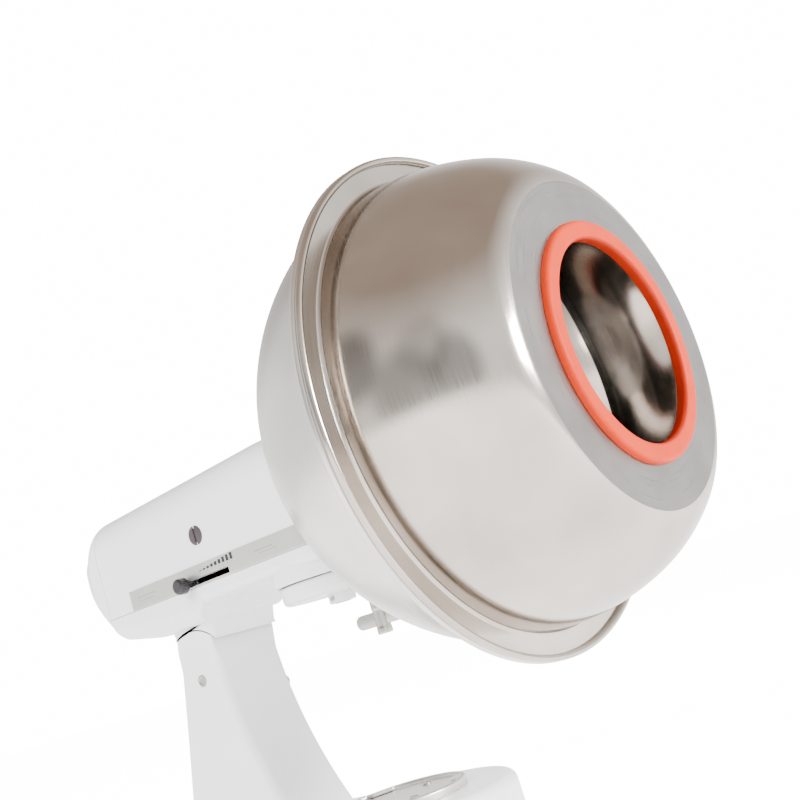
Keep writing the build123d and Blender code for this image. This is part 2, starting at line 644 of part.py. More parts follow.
with BuildPart() as beater_shaft:
    disc_z(beater_end, gear_floor - 1.0, beater_r, beater_x)
    bar_low = (beater_x - 10.0, -bar_thick / 2, bar_z - bar_height / 2)
    block(bar_low, (beater_x + 10.0, bar_thick / 2, bar_z + bar_height / 2), mode=Mode.SUBTRACT)
    relief_low, relief_high = beater_end + beater_tip, bar_z + bar_height / 2 + 1.5
    disc_z(relief_low, relief_high, 2 * beater_r, beater_x, bore=beater_r - beater_relief, mode=Mode.SUBTRACT)

with BuildPart() as beater_bar:
    with BuildSketch(Plane(origin=(beater_x, -bar_thick / 2, bar_z), x_dir=(1, 0, 0), z_dir=(0, 1, 0))):
        SlotOverall(2 * bar_reach, bar_height)
    extrude(amount=bar_thick)

with BuildPart() as planet_pinion:
    spur_gear(planet_top + 1.6, gear_floor - 1.2, planet_teeth, beater_x, 0, 0.0, beater_r)

# ---------------------------------------------------------------- speed lever and hub screw
with BuildPart() as speed_lever:
    block((lever_x - 4.0, -61.0, slot_z - 1.6), (lever_x + 4.0, -44.0, slot_z + 1.6))
    block((lever_x - 4.0, -46.6, slot_z - 3.0), (lever_x + 4.0, -44.0, slot_z + 5.0))

with BuildPart() as speed_knob:
    disc_y(-66.5, -57.5, 7.0, lever_x, slot_z)
    disc_y(-57.5, -55.2, 5.0, lever_x, slot_z)
    block((lever_x - 4.0, -61.0, slot_z - 1.6), (lever_x + 4.0, -50.0, slot_z + 1.6), mode=Mode.SUBTRACT)

with BuildPart() as hub_thumb_screw:
    disc_y(socket_r + 0.3, thumb_knob_y, thumb_r, thumb_x, hub_z)
    disc_y(thumb_knob_y, thumb_knob_y + 12.0, thumb_knob_r, thumb_x, hub_z)
    disc_y(thumb_knob_y - 3.4, thumb_knob_y, 7.0, thumb_x, hub_z)
    with BuildSketch(Plane(origin=(thumb_x, thumb_knob_y, hub_z), x_dir=(1, 0, 0), z_dir=(0, 1, 0))):
        with PolarLocations(thumb_knob_r + 0.6, 8):
            Circle(2.2)
    extrude(amount=12.0, mode=Mode.SUBTRACT)

# ---------------------------------------------------------------- coating pan
back_s = pan_back_x - rim_x


def rear_arc_angle(station, radius):
    """Angle on the rear ball, in degrees from +X, of a station given from the rim plane."""
    return math.degrees(math.acos((station - rear_ball_shift) / radius))


pan_section = Plane(origin=(rim_x, 0, hub_z), x_dir=(1, 0, 0), z_dir=(0, -1, 0))
with BuildPart() as pan_rear_shell:
    inner_ball_r = rear_ball_r - sheet
    outer_edge, outer_back = rear_arc_angle(-sheet, rear_ball_r), rear_arc_angle(back_s, rear_ball_r)
    inner_edge, inner_back = rear_arc_angle(0, inner_ball_r), rear_arc_angle(back_s + sheet, inner_ball_r)
    with BuildSketch(pan_section):
        with BuildLine():
            outer = CenterArc((rear_ball_shift, 0), rear_ball_r, outer_edge, outer_back - outer_edge)
            inner = CenterArc((rear_ball_shift, 0), inner_ball_r, inner_back, inner_edge - inner_back)
            Line(outer @ 1, (back_s, drive_shaft_r))
            Line((back_s, drive_shaft_r), (back_s + sheet, drive_shaft_r))
            Line((back_s + sheet, drive_shaft_r), inner @ 0)
            Line(inner @ 1, (0, rim_r - bead_r))
            Line((0, rim_r - bead_r), (-sheet, rim_r - bead_r))
            Line((-sheet, rim_r - bead_r), outer @ 0)
        make_face()
        with Locations((-bead_r, rim_r - bead_r)):
            Circle(bead_r)
    revolve(axis=hub_axis)
    with BuildSketch(Plane(origin=(pan_back_x, 0, hub_z), x_dir=(0, 1, 0), z_dir=(1, 0, 0))):
        with PolarLocations(pan_bolt_circle_r, pan_bolt_count, start_angle=45):
            Circle(pan_bolt_r)
    extrude(amount=sheet, mode=Mode.SUBTRACT)

with BuildPart() as pan_front_shell:
    arc_centre = (0.0, body_r - front_arcs[0][0])
    arc_start, arc_radius = 0.0, front_arcs[0][0]
    outer_arcs, inner_arcs = [], []
    with BuildSketch(pan_section):
        with BuildLine():
            for next_radius, arc_end in front_arcs:
                shift, turn = arc_radius - next_radius, math.radians(arc_start)
                centre_s = arc_centre[0] + shift * math.sin(turn)
                centre_out = arc_centre[1] + shift * math.cos(turn)
                arc_centre, arc_radius = (centre_s, centre_out), next_radius
                edge = arc_start or math.degrees(math.asin(sheet / arc_radius))
                outer_arcs.append(CenterArc(arc_centre, arc_radius, 90.0 - edge, edge - arc_end))
                inner_radius = arc_radius - sheet
                inner_arcs.append(CenterArc(arc_centre, inner_radius, 90.0 - arc_start, arc_start - arc_end))
                arc_start = arc_end
            face_s = (outer_arcs[-1] @ 1).X
            Polyline(outer_arcs[-1] @ 1, (face_s, mouth_r), (face_s - sheet, mouth_r), inner_arcs[-1] @ 1)
            flange_edge = rim_r - bead_r
            Polyline(outer_arcs[0] @ 0, (sheet, flange_edge), (0, flange_edge), inner_arcs[0] @ 0)
        make_face()
        with Locations((bead_r, rim_r - bead_r)):
            Circle(bead_r)
    revolve(axis=hub_axis)

with BuildPart() as mouth_ring:
    with BuildSketch(pan_section):
        with BuildLine():
            back_s_ring, inside_s = face_s - sheet - ring_back_lip, face_s - sheet
            shoulder_s, crown_r = face_s + ring_lip - 2.0, 0.5 * (ring_inner_r + ring_outer_r)
            ring_start, back_edge = (back_s_ring, ring_inner_r + 1.0), (back_s_ring, mouth_r + 6.5)
            groove = [(inside_s, mouth_r + 6.5), (inside_s, mouth_r), (face_s, mouth_r)]
            Polyline(ring_start, back_edge, *groove, (face_s, ring_outer_r), (shoulder_s, ring_outer_r))
            crown = (face_s + ring_lip, crown_r)
            ThreePointArc((shoulder_s, ring_outer_r), crown, (shoulder_s, ring_inner_r))
            Line((shoulder_s, ring_inner_r), ring_start)
        make_face()
    revolve(axis=hub_axis)

plate_in = pan_back_x + sheet
plate_out = plate_in + 2.0
with BuildPart() as pan_back_plate:
    disc_x(plate_in, plate_out, 46.0, bore=drive_shaft_r)
    with BuildSketch(Plane(origin=(plate_in, 0, hub_z), x_dir=(0, 1, 0), z_dir=(1, 0, 0))):
        with PolarLocations(pan_bolt_circle_r, pan_bolt_count, start_angle=45):
            Circle(pan_bolt_r)
    extrude(amount=2.0, mode=Mode.SUBTRACT)

with BuildPart() as pan_drive_shaft:
    disc_x(socket_rear + 0.4, plate_out, drive_shaft_r)
    disc_x(plate_out, plate_out + 3.0, 18.0)
    tail_low = (2.0, -tail_half_side, hub_z - tail_half_side)
    block(tail_low, (socket_rear + 1.0, tail_half_side, hub_z + tail_half_side))

with BuildPart() as pan_bolts:
    for count in range(pan_bolt_count):
        turn = math.radians(45.0 + 90.0 * count)
        bolt_y, bolt_z = pan_bolt_circle_r * math.cos(turn), hub_z + pan_bolt_circle_r * math.sin(turn)
        disc_x(pan_back_x - 5.0, plate_out, pan_bolt_r, bolt_y, bolt_z)
        disc_x(plate_out, plate_out + 3.0, 4.5, bolt_y, bolt_z)

with BuildPart() as pan_nuts:
    with BuildSketch(Plane(origin=(pan_back_x - 4.0, 0, hub_z), x_dir=(0, 1, 0), z_dir=(1, 0, 0))):
        with PolarLocations(pan_bolt_circle_r, pan_bolt_count, start_angle=45):
            RegularPolygon(4.6, 6)
            Circle(pan_bolt_r, mode=Mode.SUBTRACT)
    extrude(amount=4.0)

with BuildPart() as thrust_washer:
    disc_x(hub_front + 1.9, pan_back_x, 15.0, bore=drive_shaft_r)

# ---------------------------------------------------------------- export
pieces = {
    "base_casting": base_casting, "rubber_feet": rubber_feet, "bowl_clamp_plate": bowl_clamp_plate,
    "clamp_plate_screws": clamp_plate_screws, "column_casting": column_casting, "column_bolts": column_bolts,
    "hinge_pin": hinge_pin, "lock_lever": lock_lever, "lock_knob": lock_knob,
    "gear_case": gear_case, "head_housing": head_housing, "rear_cover": rear_cover,
    "rear_cover_screws": rear_cover_screws, "cord_gland": cord_gland, "trim_band": trim_band,
    "head_screws": head_screws, "motor_stator": motor_stator, "stator_coils": stator_coils,
    "rear_bracket": rear_bracket, "motor_end_frame": motor_end_frame, "motor_bearings": motor_bearings,
    "armature_shaft": armature_shaft, "worm": worm, "armature_core": armature_core, "commutator": commutator,
    "cooling_fan": cooling_fan, "brush_holders": brush_holders, "carbon_brushes": carbon_brushes,
    "brush_springs": brush_springs, "brush_caps": brush_caps, "control_board": control_board,
    "wheel_bush": wheel_bush, "wheel_shaft": wheel_shaft, "worm_wheel": worm_wheel,
    "drive_pinion": drive_pinion,
    "centre_bushes": centre_bushes, "centre_shaft": centre_shaft, "centre_gear": centre_gear,
    "hub_bevel_gear": hub_bevel_gear, "hub_bushes": hub_bushes, "adapter_tube": adapter_tube,
    "ring_gear": ring_gear, "planetary_housing": planetary_housing, "roll_pin": roll_pin,
    "beater_shaft": beater_shaft, "beater_bar": beater_bar, "planet_pinion": planet_pinion,
    "speed_lever": speed_lever, "speed_knob": speed_knob, "hub_thumb_screw": hub_thumb_screw,
    "pan_rear_shell": pan_rear_shell, "pan_front_shell": pan_front_shell, "mouth_ring": mouth_ring,
    "pan_back_plate": pan_back_plate, "pan_drive_shaft": pan_drive_shaft, "pan_bolts": pan_bolts,
    "pan_nuts": pan_nuts, "thrust_washer": thrust_washer,
}
for name, piece in pieces.items():
    piece.part.label = name
    export_step(piece.part, f"parts/{name}.step")
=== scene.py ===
"""Looks of a tilt-head stand mixer that turns a coating pan on its power hub.

Each sub-assembly is a class with its sizes in millimetres. Its pieces are surfaces worked out with numpy
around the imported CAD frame, and become metres when a mesh is made.
"""

import json
import logging
import math
from dataclasses import dataclass
from enum import Enum

import bmesh
import bpy
import numpy as np
from mathutils import Matrix, Vector


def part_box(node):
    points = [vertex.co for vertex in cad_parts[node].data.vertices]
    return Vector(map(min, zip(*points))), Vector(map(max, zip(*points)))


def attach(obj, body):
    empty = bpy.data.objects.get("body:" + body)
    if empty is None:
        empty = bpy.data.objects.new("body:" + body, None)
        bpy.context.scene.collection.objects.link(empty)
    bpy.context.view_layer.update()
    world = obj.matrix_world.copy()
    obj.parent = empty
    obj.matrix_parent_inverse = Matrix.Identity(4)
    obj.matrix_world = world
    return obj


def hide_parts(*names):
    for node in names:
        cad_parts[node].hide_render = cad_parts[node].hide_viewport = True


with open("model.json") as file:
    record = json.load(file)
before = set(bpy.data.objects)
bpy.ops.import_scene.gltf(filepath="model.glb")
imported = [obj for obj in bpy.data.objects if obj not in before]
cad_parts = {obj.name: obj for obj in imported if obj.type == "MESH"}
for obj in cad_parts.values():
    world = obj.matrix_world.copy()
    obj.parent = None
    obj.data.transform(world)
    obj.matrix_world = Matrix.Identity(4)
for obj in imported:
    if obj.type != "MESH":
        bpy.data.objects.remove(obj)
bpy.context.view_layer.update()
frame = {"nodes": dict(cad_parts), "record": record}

MM = 0.001
TURN = 2.0 * math.pi
SMOOTH_ANGLE = math.radians(32.0)
Array = np.ndarray
logging.basicConfig(level=logging.INFO, format="%(message)s")
LOG = logging.getLogger("mixer")


# ---------------------------------------------------------------- frame
def low(node: str) -> Array:
    """Lowest corner of a CAD node in millimetres."""
    return np.array(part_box(node)[0]) / MM


def high(node: str) -> Array:
    """Highest corner of a CAD node in millimetres."""
    return np.array(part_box(node)[1]) / MM


def middle(node: str) -> Array:
    """Centre of a CAD node's box in millimetres."""
    return 0.5 * (low(node) + high(node))


# ---------------------------------------------------------------- plane curves
def arc(centre: tuple, radius: float, start: float, end: float, count: int = 16) -> Array:
    """Points on a circle, evenly spaced in angle.

    Args:
        centre: Centre in the plane.
        radius: Radius in millimetres.
        start: First angle in degrees.
        end: Last angle in degrees.
        count: Number of points.

    Returns:
        An array of count by 2: centre plus radius times cosine and sine of the angle.
    """
    angle = np.radians(np.linspace(start, end, count))
    return np.column_stack([centre[0] + radius * np.cos(angle), centre[1] + radius * np.sin(angle)])


def arc_through(first: tuple, mid: tuple, last: tuple, count: int = 24) -> Array:
    """Points on the circle through three points, from the first to the last.

    The centre solves the two equations that put it equally far from the three points.
    """
    a, b, c = (np.array(p, float) for p in (first, mid, last))
    sides = 2.0 * np.array([b - a, c - a])
    centre = np.linalg.solve(sides, np.array([b @ b - a @ a, c @ c - a @ a]))
    angles = np.unwrap([math.atan2(*(p - centre)[::-1]) for p in (a, b, c)])
    return arc(tuple(centre), float(np.linalg.norm(a - centre)), *np.degrees(angles[[0, 2]]), count)


def filleted(points: list, radii: list, closed: bool = True, steps: int = 8) -> Array:
    """A polyline whose corners are replaced by tangent arcs.

    Each arc is a rotation from one tangent point to the other about the corner's bisector centre, so its
    points are (a sin((1-k)w) + b sin(kw)) / sin w for k from 0 to 1, where a and b run from the centre to
    those points.

    Args:
        points: Corners in the plane.
        radii: One radius for each corner, 0 for a sharp one.
        closed: Whether the last corner joins the first.
        steps: Points on each arc.

    Returns:
        The points of the rounded line.
    """
    corners, count, line = np.array(points, float), len(points), []
    for index, radius in enumerate(radii):
        here = corners[index]
        if radius <= 0 or (not closed and index in (0, count - 1)):
            line.append(here[None])
            continue
        back, ahead = corners[index - 1] - here, corners[(index + 1) % count] - here
        room = 0.49 * min(np.linalg.norm(back), np.linalg.norm(ahead))
        back, ahead = back / np.linalg.norm(back), ahead / np.linalg.norm(ahead)
        half = 0.5 * math.acos(float(np.clip(back @ ahead, -1.0, 1.0)))
        reach = min(radius / math.tan(half), room)
        centre = here + (back + ahead) / np.linalg.norm(back + ahead) * reach / math.cos(half)
        start, end = here + back * reach - centre, here + ahead * reach - centre
        sweep = math.pi - 2.0 * half
        share = np.linspace(0.0, 1.0, steps)[:, None]
        turned = (start * np.sin((1 - share) * sweep) + end * np.sin(share * sweep)) / math.sin(sweep)
        line.append(centre + turned)
    return np.concatenate(line)


def resampled(line: Array, step: float, closed: bool = True) -> Array:
    """The same line with points at even distances along it, found by linear interpolation of its length."""
    loop = np.vstack([line, line[:1]]) if closed else line
    keep = np.r_[True, np.linalg.norm(np.diff(loop, axis=0), axis=1) > 1e-6]
    loop = loop[keep]
    along = np.r_[0.0, np.cumsum(np.linalg.norm(np.diff(loop, axis=0), axis=1))]
    places = np.linspace(0.0, along[-1], max(8, int(along[-1] / step)) + 1)
    places = places[:-1] if closed else places
    return np.column_stack([np.interp(places, along, loop[:, axis]) for axis in range(loop.shape[1])])


def inward_normals(loop: Array) -> Array:
    """Unit normals that point into a closed plane loop, from central differences and the sign of its area."""
    ahead = np.roll(loop, -1, axis=0) - np.roll(loop, 1, axis=0)
    ahead /= np.maximum(np.linalg.norm(ahead, axis=1, keepdims=True), 1e-9)
    nxt = np.roll(loop, -1, axis=0)
    area = np.sum(loop[:, 0] * nxt[:, 1] - nxt[:, 0] * loop[:, 1])
    side = 1.0 if area > 0 else -1.0
    return side * np.column_stack([-ahead[:, 1], ahead[:, 0]])


# ---------------------------------------------------------------- meshes
class Shape:
    """Collects closed grids of points, in millimetres, and makes one Blender mesh of them."""

    def __init__(self) -> None:
        """Starts with no points."""
        self.points: list[Array] = []
        self.faces: list[tuple] = []
        self.finishes: list[int] = []
        self.uvs: list[Array] = []
        self.count = 0

    def grid(self, points: Array, wrap_rows: bool = False, wrap_columns: bool = False,
             keep: Array | None = None, uv: Array | None = None, finish: int = 0) -> list[tuple]:
        """Adds a grid of quads.

        Args:
            points: Rows by columns by 3.
            wrap_rows: Whether the last row joins the first.
            wrap_columns: Whether the last column joins the first.
            keep: Which quads exist, rows by columns of quads.
            uv: Surface coordinates in metres, one more row or column than points where they wrap.
            finish: Index of the finish.

        Returns:
            The faces that were added, as tuples of point numbers.
        """
        rows, columns = points.shape[:2]
        row, column = np.meshgrid(np.arange(rows if wrap_rows else rows - 1),
                                  np.arange(columns if wrap_columns else columns - 1), indexing="ij")
        if keep is not None:
            row, column = row[keep], column[keep]
        row, column = row.ravel(), column.ravel()
        corners = ((row, column), (row + 1, column), (row + 1, column + 1), (row, column + 1))
        numbers = np.column_stack([self.count + (r % rows) * columns + c % columns for r, c in corners])
        uv = np.zeros((rows + 1, columns + 1, 2)) if uv is None else uv
        added = [tuple(map(int, f)) for f in numbers]
        self.points.append(points.reshape(-1, 3))
        self.count += rows * columns
        self.faces += added
        self.uvs.append(np.stack([uv[r, c] for r, c in corners], axis=1).reshape(-1, 2))
        self.finishes += [finish] * len(added)
        return added

    def ngon(self, loop: Array, finish: int = 0) -> None:
        """Adds one flat face with its own points."""
        self.faces.append(tuple(range(self.count, self.count + len(loop))))
        self.points.append(loop)
        self.uvs.append(loop[:, :2] * MM)
        self.finishes.append(finish)
        self.count += len(loop)

    def turned(self, profile: Array, origin: Array, axis: str, segments: int = 96,
               inside: Array | None = None, flute: Array | None = None) -> None:
        """Adds a closed profile carried round an axis.

        A point is origin plus along times the axis plus radius times (cos t, sin t) in the plane across it.

        Args:
            profile: Closed loop of along and radius; radii of 0 become poles.
            origin: Point on the axis.
            axis: Name of the axis, x, y or z.
            segments: Steps round the axis.
            inside: For each profile point, whether the quad after it has the second finish.
            flute: Factor on the radius for each step round the axis.
        """
        number = "xyz".index(axis)
        unit, first = np.eye(3)[number], np.eye(3)[(number + 1) % 3]
        second = np.cross(unit, first)
        angle = np.linspace(0.0, TURN, segments, endpoint=False)
        factor = np.ones(segments) if flute is None else flute
        ring = np.cos(angle)[:, None] * first + np.sin(angle)[:, None] * second
        spokes = profile[:, 1, None, None] * factor[:, None] * ring
        points = origin + profile[:, 0, None, None] * unit + spokes
        steps = np.linalg.norm(np.diff(np.vstack([profile, profile[:1]]), axis=0), axis=1)
        along = np.r_[0.0, np.cumsum(steps)] * MM
        around = np.linspace(0.0, TURN, segments + 1) * float(profile[:, 1].max()) * MM
        uv = np.stack(np.broadcast_arrays(around[None, :], along[:, None]), axis=-1)
        start = len(self.finishes)
        self.grid(points, True, True, uv=uv)
        if inside is not None:
            self.finishes[start:] = [int(k) for k in np.repeat(inside, segments)]

    def prism(self, outline: Array, start: float, end: float, rounding: float | Array, axis: str,
              rings: int = 5) -> None:
        """Adds an outline carried along an axis, with rounded edges at both ends.

        Each end ring stands in from the outline by r (1 - sin t) and back from the end by r (1 - cos t).

        Args:
            outline: Closed loop in the plane across the axis: XZ for y, XY for z, YZ for x.
            start: Where the prism begins.
            end: Where it ends.
            rounding: Edge radius, one or one for each outline point.
            axis: Name of the axis.
            rings: Rings in each rounding.
        """
        edge = np.broadcast_to(np.asarray(rounding, float), (len(outline),))
        inward, angle = inward_normals(outline), np.linspace(0.0, math.pi / 2, rings)
        insets, backs = 1.0 - np.sin(angle), 1.0 - np.cos(angle)
        flat = [(outline + inward * (edge * inset)[:, None], edge * back)
                for inset, back in zip(insets, backs)]
        rows = [np.column_stack([loop, start + back]) for loop, back in flat]
        rows += [np.column_stack([loop, end - back]) for loop, back in flat[::-1]]
        order = {"y": (0, 2, 1), "z": (0, 1, 2), "x": (2, 0, 1)}[axis]
        points = np.stack(rows)[:, :, order]
        first = len(self.faces)
        self.grid(points, False, True)
        self.ngon(points[0][::-1])
        self.ngon(points[-1])
        self._outward(first)

    def slab(self, outer: Array, inner: Array, keep: Array | None = None, wrap_columns: bool = False,
             finish: int = 0) -> None:
        """Adds the solid between two grids of the same size, joined round their open edges and holes."""
        first = len(self.faces)
        base = self.count
        shown = self.grid(outer, False, wrap_columns, keep, finish=finish)
        shift = outer.shape[0] * outer.shape[1]
        self.grid(inner, False, wrap_columns, keep, finish=finish)
        self.faces[first + len(shown):] = [tuple(n + shift for n in f[::-1]) for f in shown]
        sides = np.array([(f[i], f[(i + 1) % 4]) for f in shown for i in range(4)])
        ordered = np.sort(sides, axis=1)
        _, where, uses = np.unique(ordered, axis=0, return_index=True, return_counts=True)
        rim = [(int(b), int(a), int(a) + shift, int(b) + shift) for a, b in sides[where[uses == 1]]]
        self.faces += rim
        self.uvs.append(np.zeros((4 * len(rim), 2)))
        self.finishes += [finish] * len(rim)
        assert self.count == base + 2 * shift
        self._outward(first)

    def mark_seat(self, x: float, z: float, radius: float, finish: int) -> None:
        """Gives a finish to the narrow quads that lie on a cylinder along Y, within 0.15 mm of its radius."""
        points = np.vstack(self.points)
        away = np.abs(np.hypot(points[:, 0] - x, points[:, 2] - z) - radius) < 0.15
        for number, face in enumerate(self.faces):
            if len(face) == 4 and away[list(face)].all():
                self.finishes[number] = finish

    def _outward(self, first: int) -> None:
        """Turns the faces from a number on inside out if the volume that they enclose is negative."""
        points = np.vstack(self.points)
        volume = 0.0
        for face in self.faces[first:]:
            corner = points[list(face)]
            volume += float(np.sum(np.cross(corner[1:-1] - corner[0], corner[2:] - corner[0]) @ corner[0]))
        if volume < 0:
            self.faces[first:] = [f[::-1] for f in self.faces[first:]]

    def piece(self, name: str, body: str, slot: str, *nodes: str, finishes: list) -> bpy.types.Object:
        """Makes the object, dresses it and puts it on its body.

        Args:
            name: Name of the piece.
            body: CAD body that it rides on.
            slot: Material slot of the record; not used.
            *nodes: CAD nodes that it stands for.
            finishes: Materials, in the order of the finish numbers.

        Returns:
            The new object.
        """
        mesh = bpy.data.meshes.new(name)
        mesh.from_pydata(np.vstack(self.points) * MM, [], self.faces)
        layer = mesh.uv_layers.new(name="surface")
        layer.data.foreach_set("uv", np.vstack(self.uvs).astype(np.float32).ravel())
        mesh.polygons.foreach_set("material_index", np.array(self.finishes, np.int32))
        for finish in finishes:
            mesh.materials.append(finish)
        work = bmesh.new()
        work.from_mesh(mesh)
        bmesh.ops.remove_doubles(work, verts=work.verts, dist=2e-6)
        bmesh.ops.dissolve_degenerate(work, edges=work.edges, dist=1e-7)
        bmesh.ops.recalc_face_normals(work, faces=work.faces)
        work.to_mesh(mesh)
        work.free()
        mesh.polygons.foreach_set("use_smooth", np.ones(len(mesh.polygons), bool))
        mesh.set_sharp_from_angle(angle=SMOOTH_ANGLE)
        mesh.update()
        obj = bpy.data.objects.new(name, mesh)
        bpy.context.scene.collection.objects.link(obj)
        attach(obj, body)
        if nodes:
            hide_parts(*nodes)
        LOG.info("%s: %d faces on %s", name, len(mesh.polygons), body)
        return obj


# ---------------------------------------------------------------- finishes
def srgb(code: str, alpha: float = 1.0) -> tuple:
    """A hex colour as linear values: below 0.04045 divided by 12.92, above it by the 2.4 power law."""
    parts = np.array([int(code[i:i + 2], 16) for i in (1, 3, 5)]) / 255.0
    linear = np.where(parts <= 0.04045, parts / 12.92, ((parts + 0.055) / 1.055) ** 2.4)
    return (*map(float, linear), alpha)


def add_node(tree: bpy.types.NodeTree, kind: str, values: dict | None = None, links: dict | None = None,
             **settings: object) -> bpy.types.Node:
    """Adds a node with its settings, socket values and incoming links."""
    node = tree.nodes.new(kind)
    for name, value in settings.items():
        setattr(node, name, value)
    for name, value in (values or {}).items():
        node.inputs[name].default_value = value
    for name, source in (links or {}).items():
        tree.links.new(source, node.inputs[name])
    return node


class Pattern(Enum):
    """What a process leaves on a surface, as the stretch of its pattern along the three coordinates."""

    EVEN = (1.0, 1.0, 1.0)
    SPUN = (0.012, 1.0, 1.0)  # lines round a turned piece, in surface coordinates
    BRUSHED = (0.02, 1.0, 1.0)  # lines along the mixer


@dataclass(frozen=True)
class Finish:
    """A material and how it was made.

    Attributes:
        name: What the finish is.
        shade: Main colour.
        second: Colour of its faint patches.
        roughness: Roughness of the base.
        metallic: 1 for bare metal.
        coat: Clear gloss over the base.
        grain_mm: Size of the fine pattern.
        bump: Height of the fine pattern, in millimetres.
        spread: How much the roughness varies.
        patch_mm: Size of the faint colour patches.
        pattern: Direction of the fine pattern.
        on_surface: Whether the pattern follows the piece's own surface coordinates.
        ior: Refraction of a non-metal.
    """

    name: str
    shade: str
    second: str
    roughness: float
    metallic: float = 0.0
    coat: float = 0.0
    grain_mm: float = 1.0
    bump: float = 0.02
    spread: float = 0.06
    patch_mm: float = 40.0
    pattern: Pattern = Pattern.EVEN
    on_surface: bool = False
    ior: float = 1.5

    def material(self) -> bpy.types.Material:
        """The finish as a node material: colour patches, a fine pattern in roughness and in bump."""
        made = bpy.data.materials.get(self.name)
        if made:
            return made
        made = bpy.data.materials.new(self.name)
        made.use_nodes = True
        tree = made.node_tree
        shader = tree.nodes["Principled BSDF"]
        shader.inputs["Metallic"].default_value = self.metallic
        shader.inputs["Coat Weight"].default_value = self.coat
        shader.inputs["Coat Roughness"].default_value = 0.05
        if not self.metallic:
            shader.inputs["IOR"].default_value = self.ior
        places = add_node(tree, "ShaderNodeTexCoord")
        source = places.outputs["UV" if self.on_surface else "Object"]
        stretch = add_node(tree, "ShaderNodeMapping", {"Scale": self.pattern.value}, {"Vector": source})
        fine = add_node(tree, "ShaderNodeTexNoise", {"Scale": 1.0 / (self.grain_mm * MM), "Detail": 3.0},
                        {"Vector": stretch.outputs["Vector"]})
        broad = add_node(tree, "ShaderNodeTexNoise", {"Scale": 1.0 / (self.patch_mm * MM), "Detail": 2.0},
                         {"Vector": places.outputs["Object"]})
        tint = tree.nodes.new("ShaderNodeValToRGB")
        tint.color_ramp.elements[0].position, tint.color_ramp.elements[1].position = 0.3, 0.75
        tint.color_ramp.elements[0].color = srgb(self.shade)
        tint.color_ramp.elements[1].color = srgb(self.second)
        tree.links.new(broad.outputs["Fac"], tint.inputs["Fac"])
        tree.links.new(tint.outputs["Color"], shader.inputs["Base Color"])
        rough = add_node(tree, "ShaderNodeMapRange", {"From Min": 0.25, "From Max": 0.75,
                         "To Min": max(self.roughness - self.spread, 0.02),
                         "To Max": self.roughness + self.spread}, {"Value": fine.outputs["Fac"]})
        tree.links.new(rough.outputs["Result"], shader.inputs["Roughness"])
        if self.bump:
            relief = add_node(tree, "ShaderNodeBump", {"Distance": self.bump * MM, "Strength": 1.0},
                              {"Height": fine.outputs["Fac"]})
            tree.links.new(relief.outputs["Normal"], shader.inputs["Normal"])
        return made


# Polyester-epoxy enamel, sprayed and baked on die-cast aluminium: deep gloss with a faint orange peel
ENAMEL = Finish("baked_white_enamel", "#ECECEE", "#E7E7EA", 0.24, coat=0.55, grain_mm=2.6, bump=0.006,
                spread=0.03)
# Aluminium strip, satin brushed along its length: soft streaks, no mirror image
BAND = Finish("satin_brushed_aluminium", "#C9C9C4", "#BFBFBA", 0.36, metallic=0.85, grain_mm=0.5, bump=0.004,
              pattern=Pattern.BRUSHED)
# Stainless sheet, spun over a former and machine polished: soft image, faint lines round the bowl
BOWL = Finish("spun_polished_stainless", "#BDB5AD", "#ADA49B", 0.15, metallic=1.0, grain_mm=1.6, bump=0.004,
              spread=0.05, patch_mm=60.0, pattern=Pattern.SPUN, on_surface=True)
# The same sheet left satin on the rear bowl
SATIN_BOWL = Finish("spun_satin_stainless", "#DAD8D4", "#CBC8C3", 0.3, metallic=1.0, grain_mm=1.4, bump=0.005,
                    spread=0.05, patch_mm=70.0, pattern=Pattern.SPUN, on_surface=True)
# The flat face, brushed in the lathe after spinning: darker, lines round the mouth
FACE = Finish("lathe_brushed_stainless", "#8E8B88", "#807D7A", 0.32, metallic=1.0, grain_mm=1.1, bump=0.008,
              spread=0.07, pattern=Pattern.SPUN, on_surface=True)
# The inside, buffed to a mirror: dark with sharp highlights
MIRROR = Finish("buffed_mirror_stainless", "#D9D3CD", "#CBC4BD", 0.1, metallic=1.0, grain_mm=2.2, bump=0.006,
                spread=0.03, pattern=Pattern.SPUN, on_surface=True)
# Silicone rubber, compression moulded: saturated, softly shining
SILICONE = Finish("moulded_orange_silicone", "#C23000", "#B82C00", 0.5, grain_mm=0.8, bump=0.02,
                  patch_mm=25.0, ior=1.25)
# The same silicone made darker for the ring's bore: painted shade inside the hole
SILICONE_BORE_SHADE = Finish("orange_silicone_painted_bore_shade", "#A82200", "#9A1E00", 0.5, grain_mm=0.8, bump=0.02,
                       ior=1.25)
# Phenolic, compression moulded and left glossy
BLACK = Finish("moulded_black_phenolic", "#141315", "#1C1B1E", 0.3, coat=0.2, grain_mm=0.7, bump=0.01)
CAP = Finish("moulded_dark_phenolic", "#3A3034", "#30282C", 0.42, grain_mm=0.6, bump=0.015)
MARK = Finish("printed_black_ink", "#1B1B1D", "#242427", 0.55, grain_mm=0.4, bump=0.003)
FAINT = Finish("printed_grey_ink", "#8F8F8B", "#868682", 0.5, grain_mm=0.4, bump=0.003)
RUBBER = Finish("moulded_foot_rubber", "#2B2B2E", "#343437", 0.75, grain_mm=0.6, bump=0.03, ior=1.52)
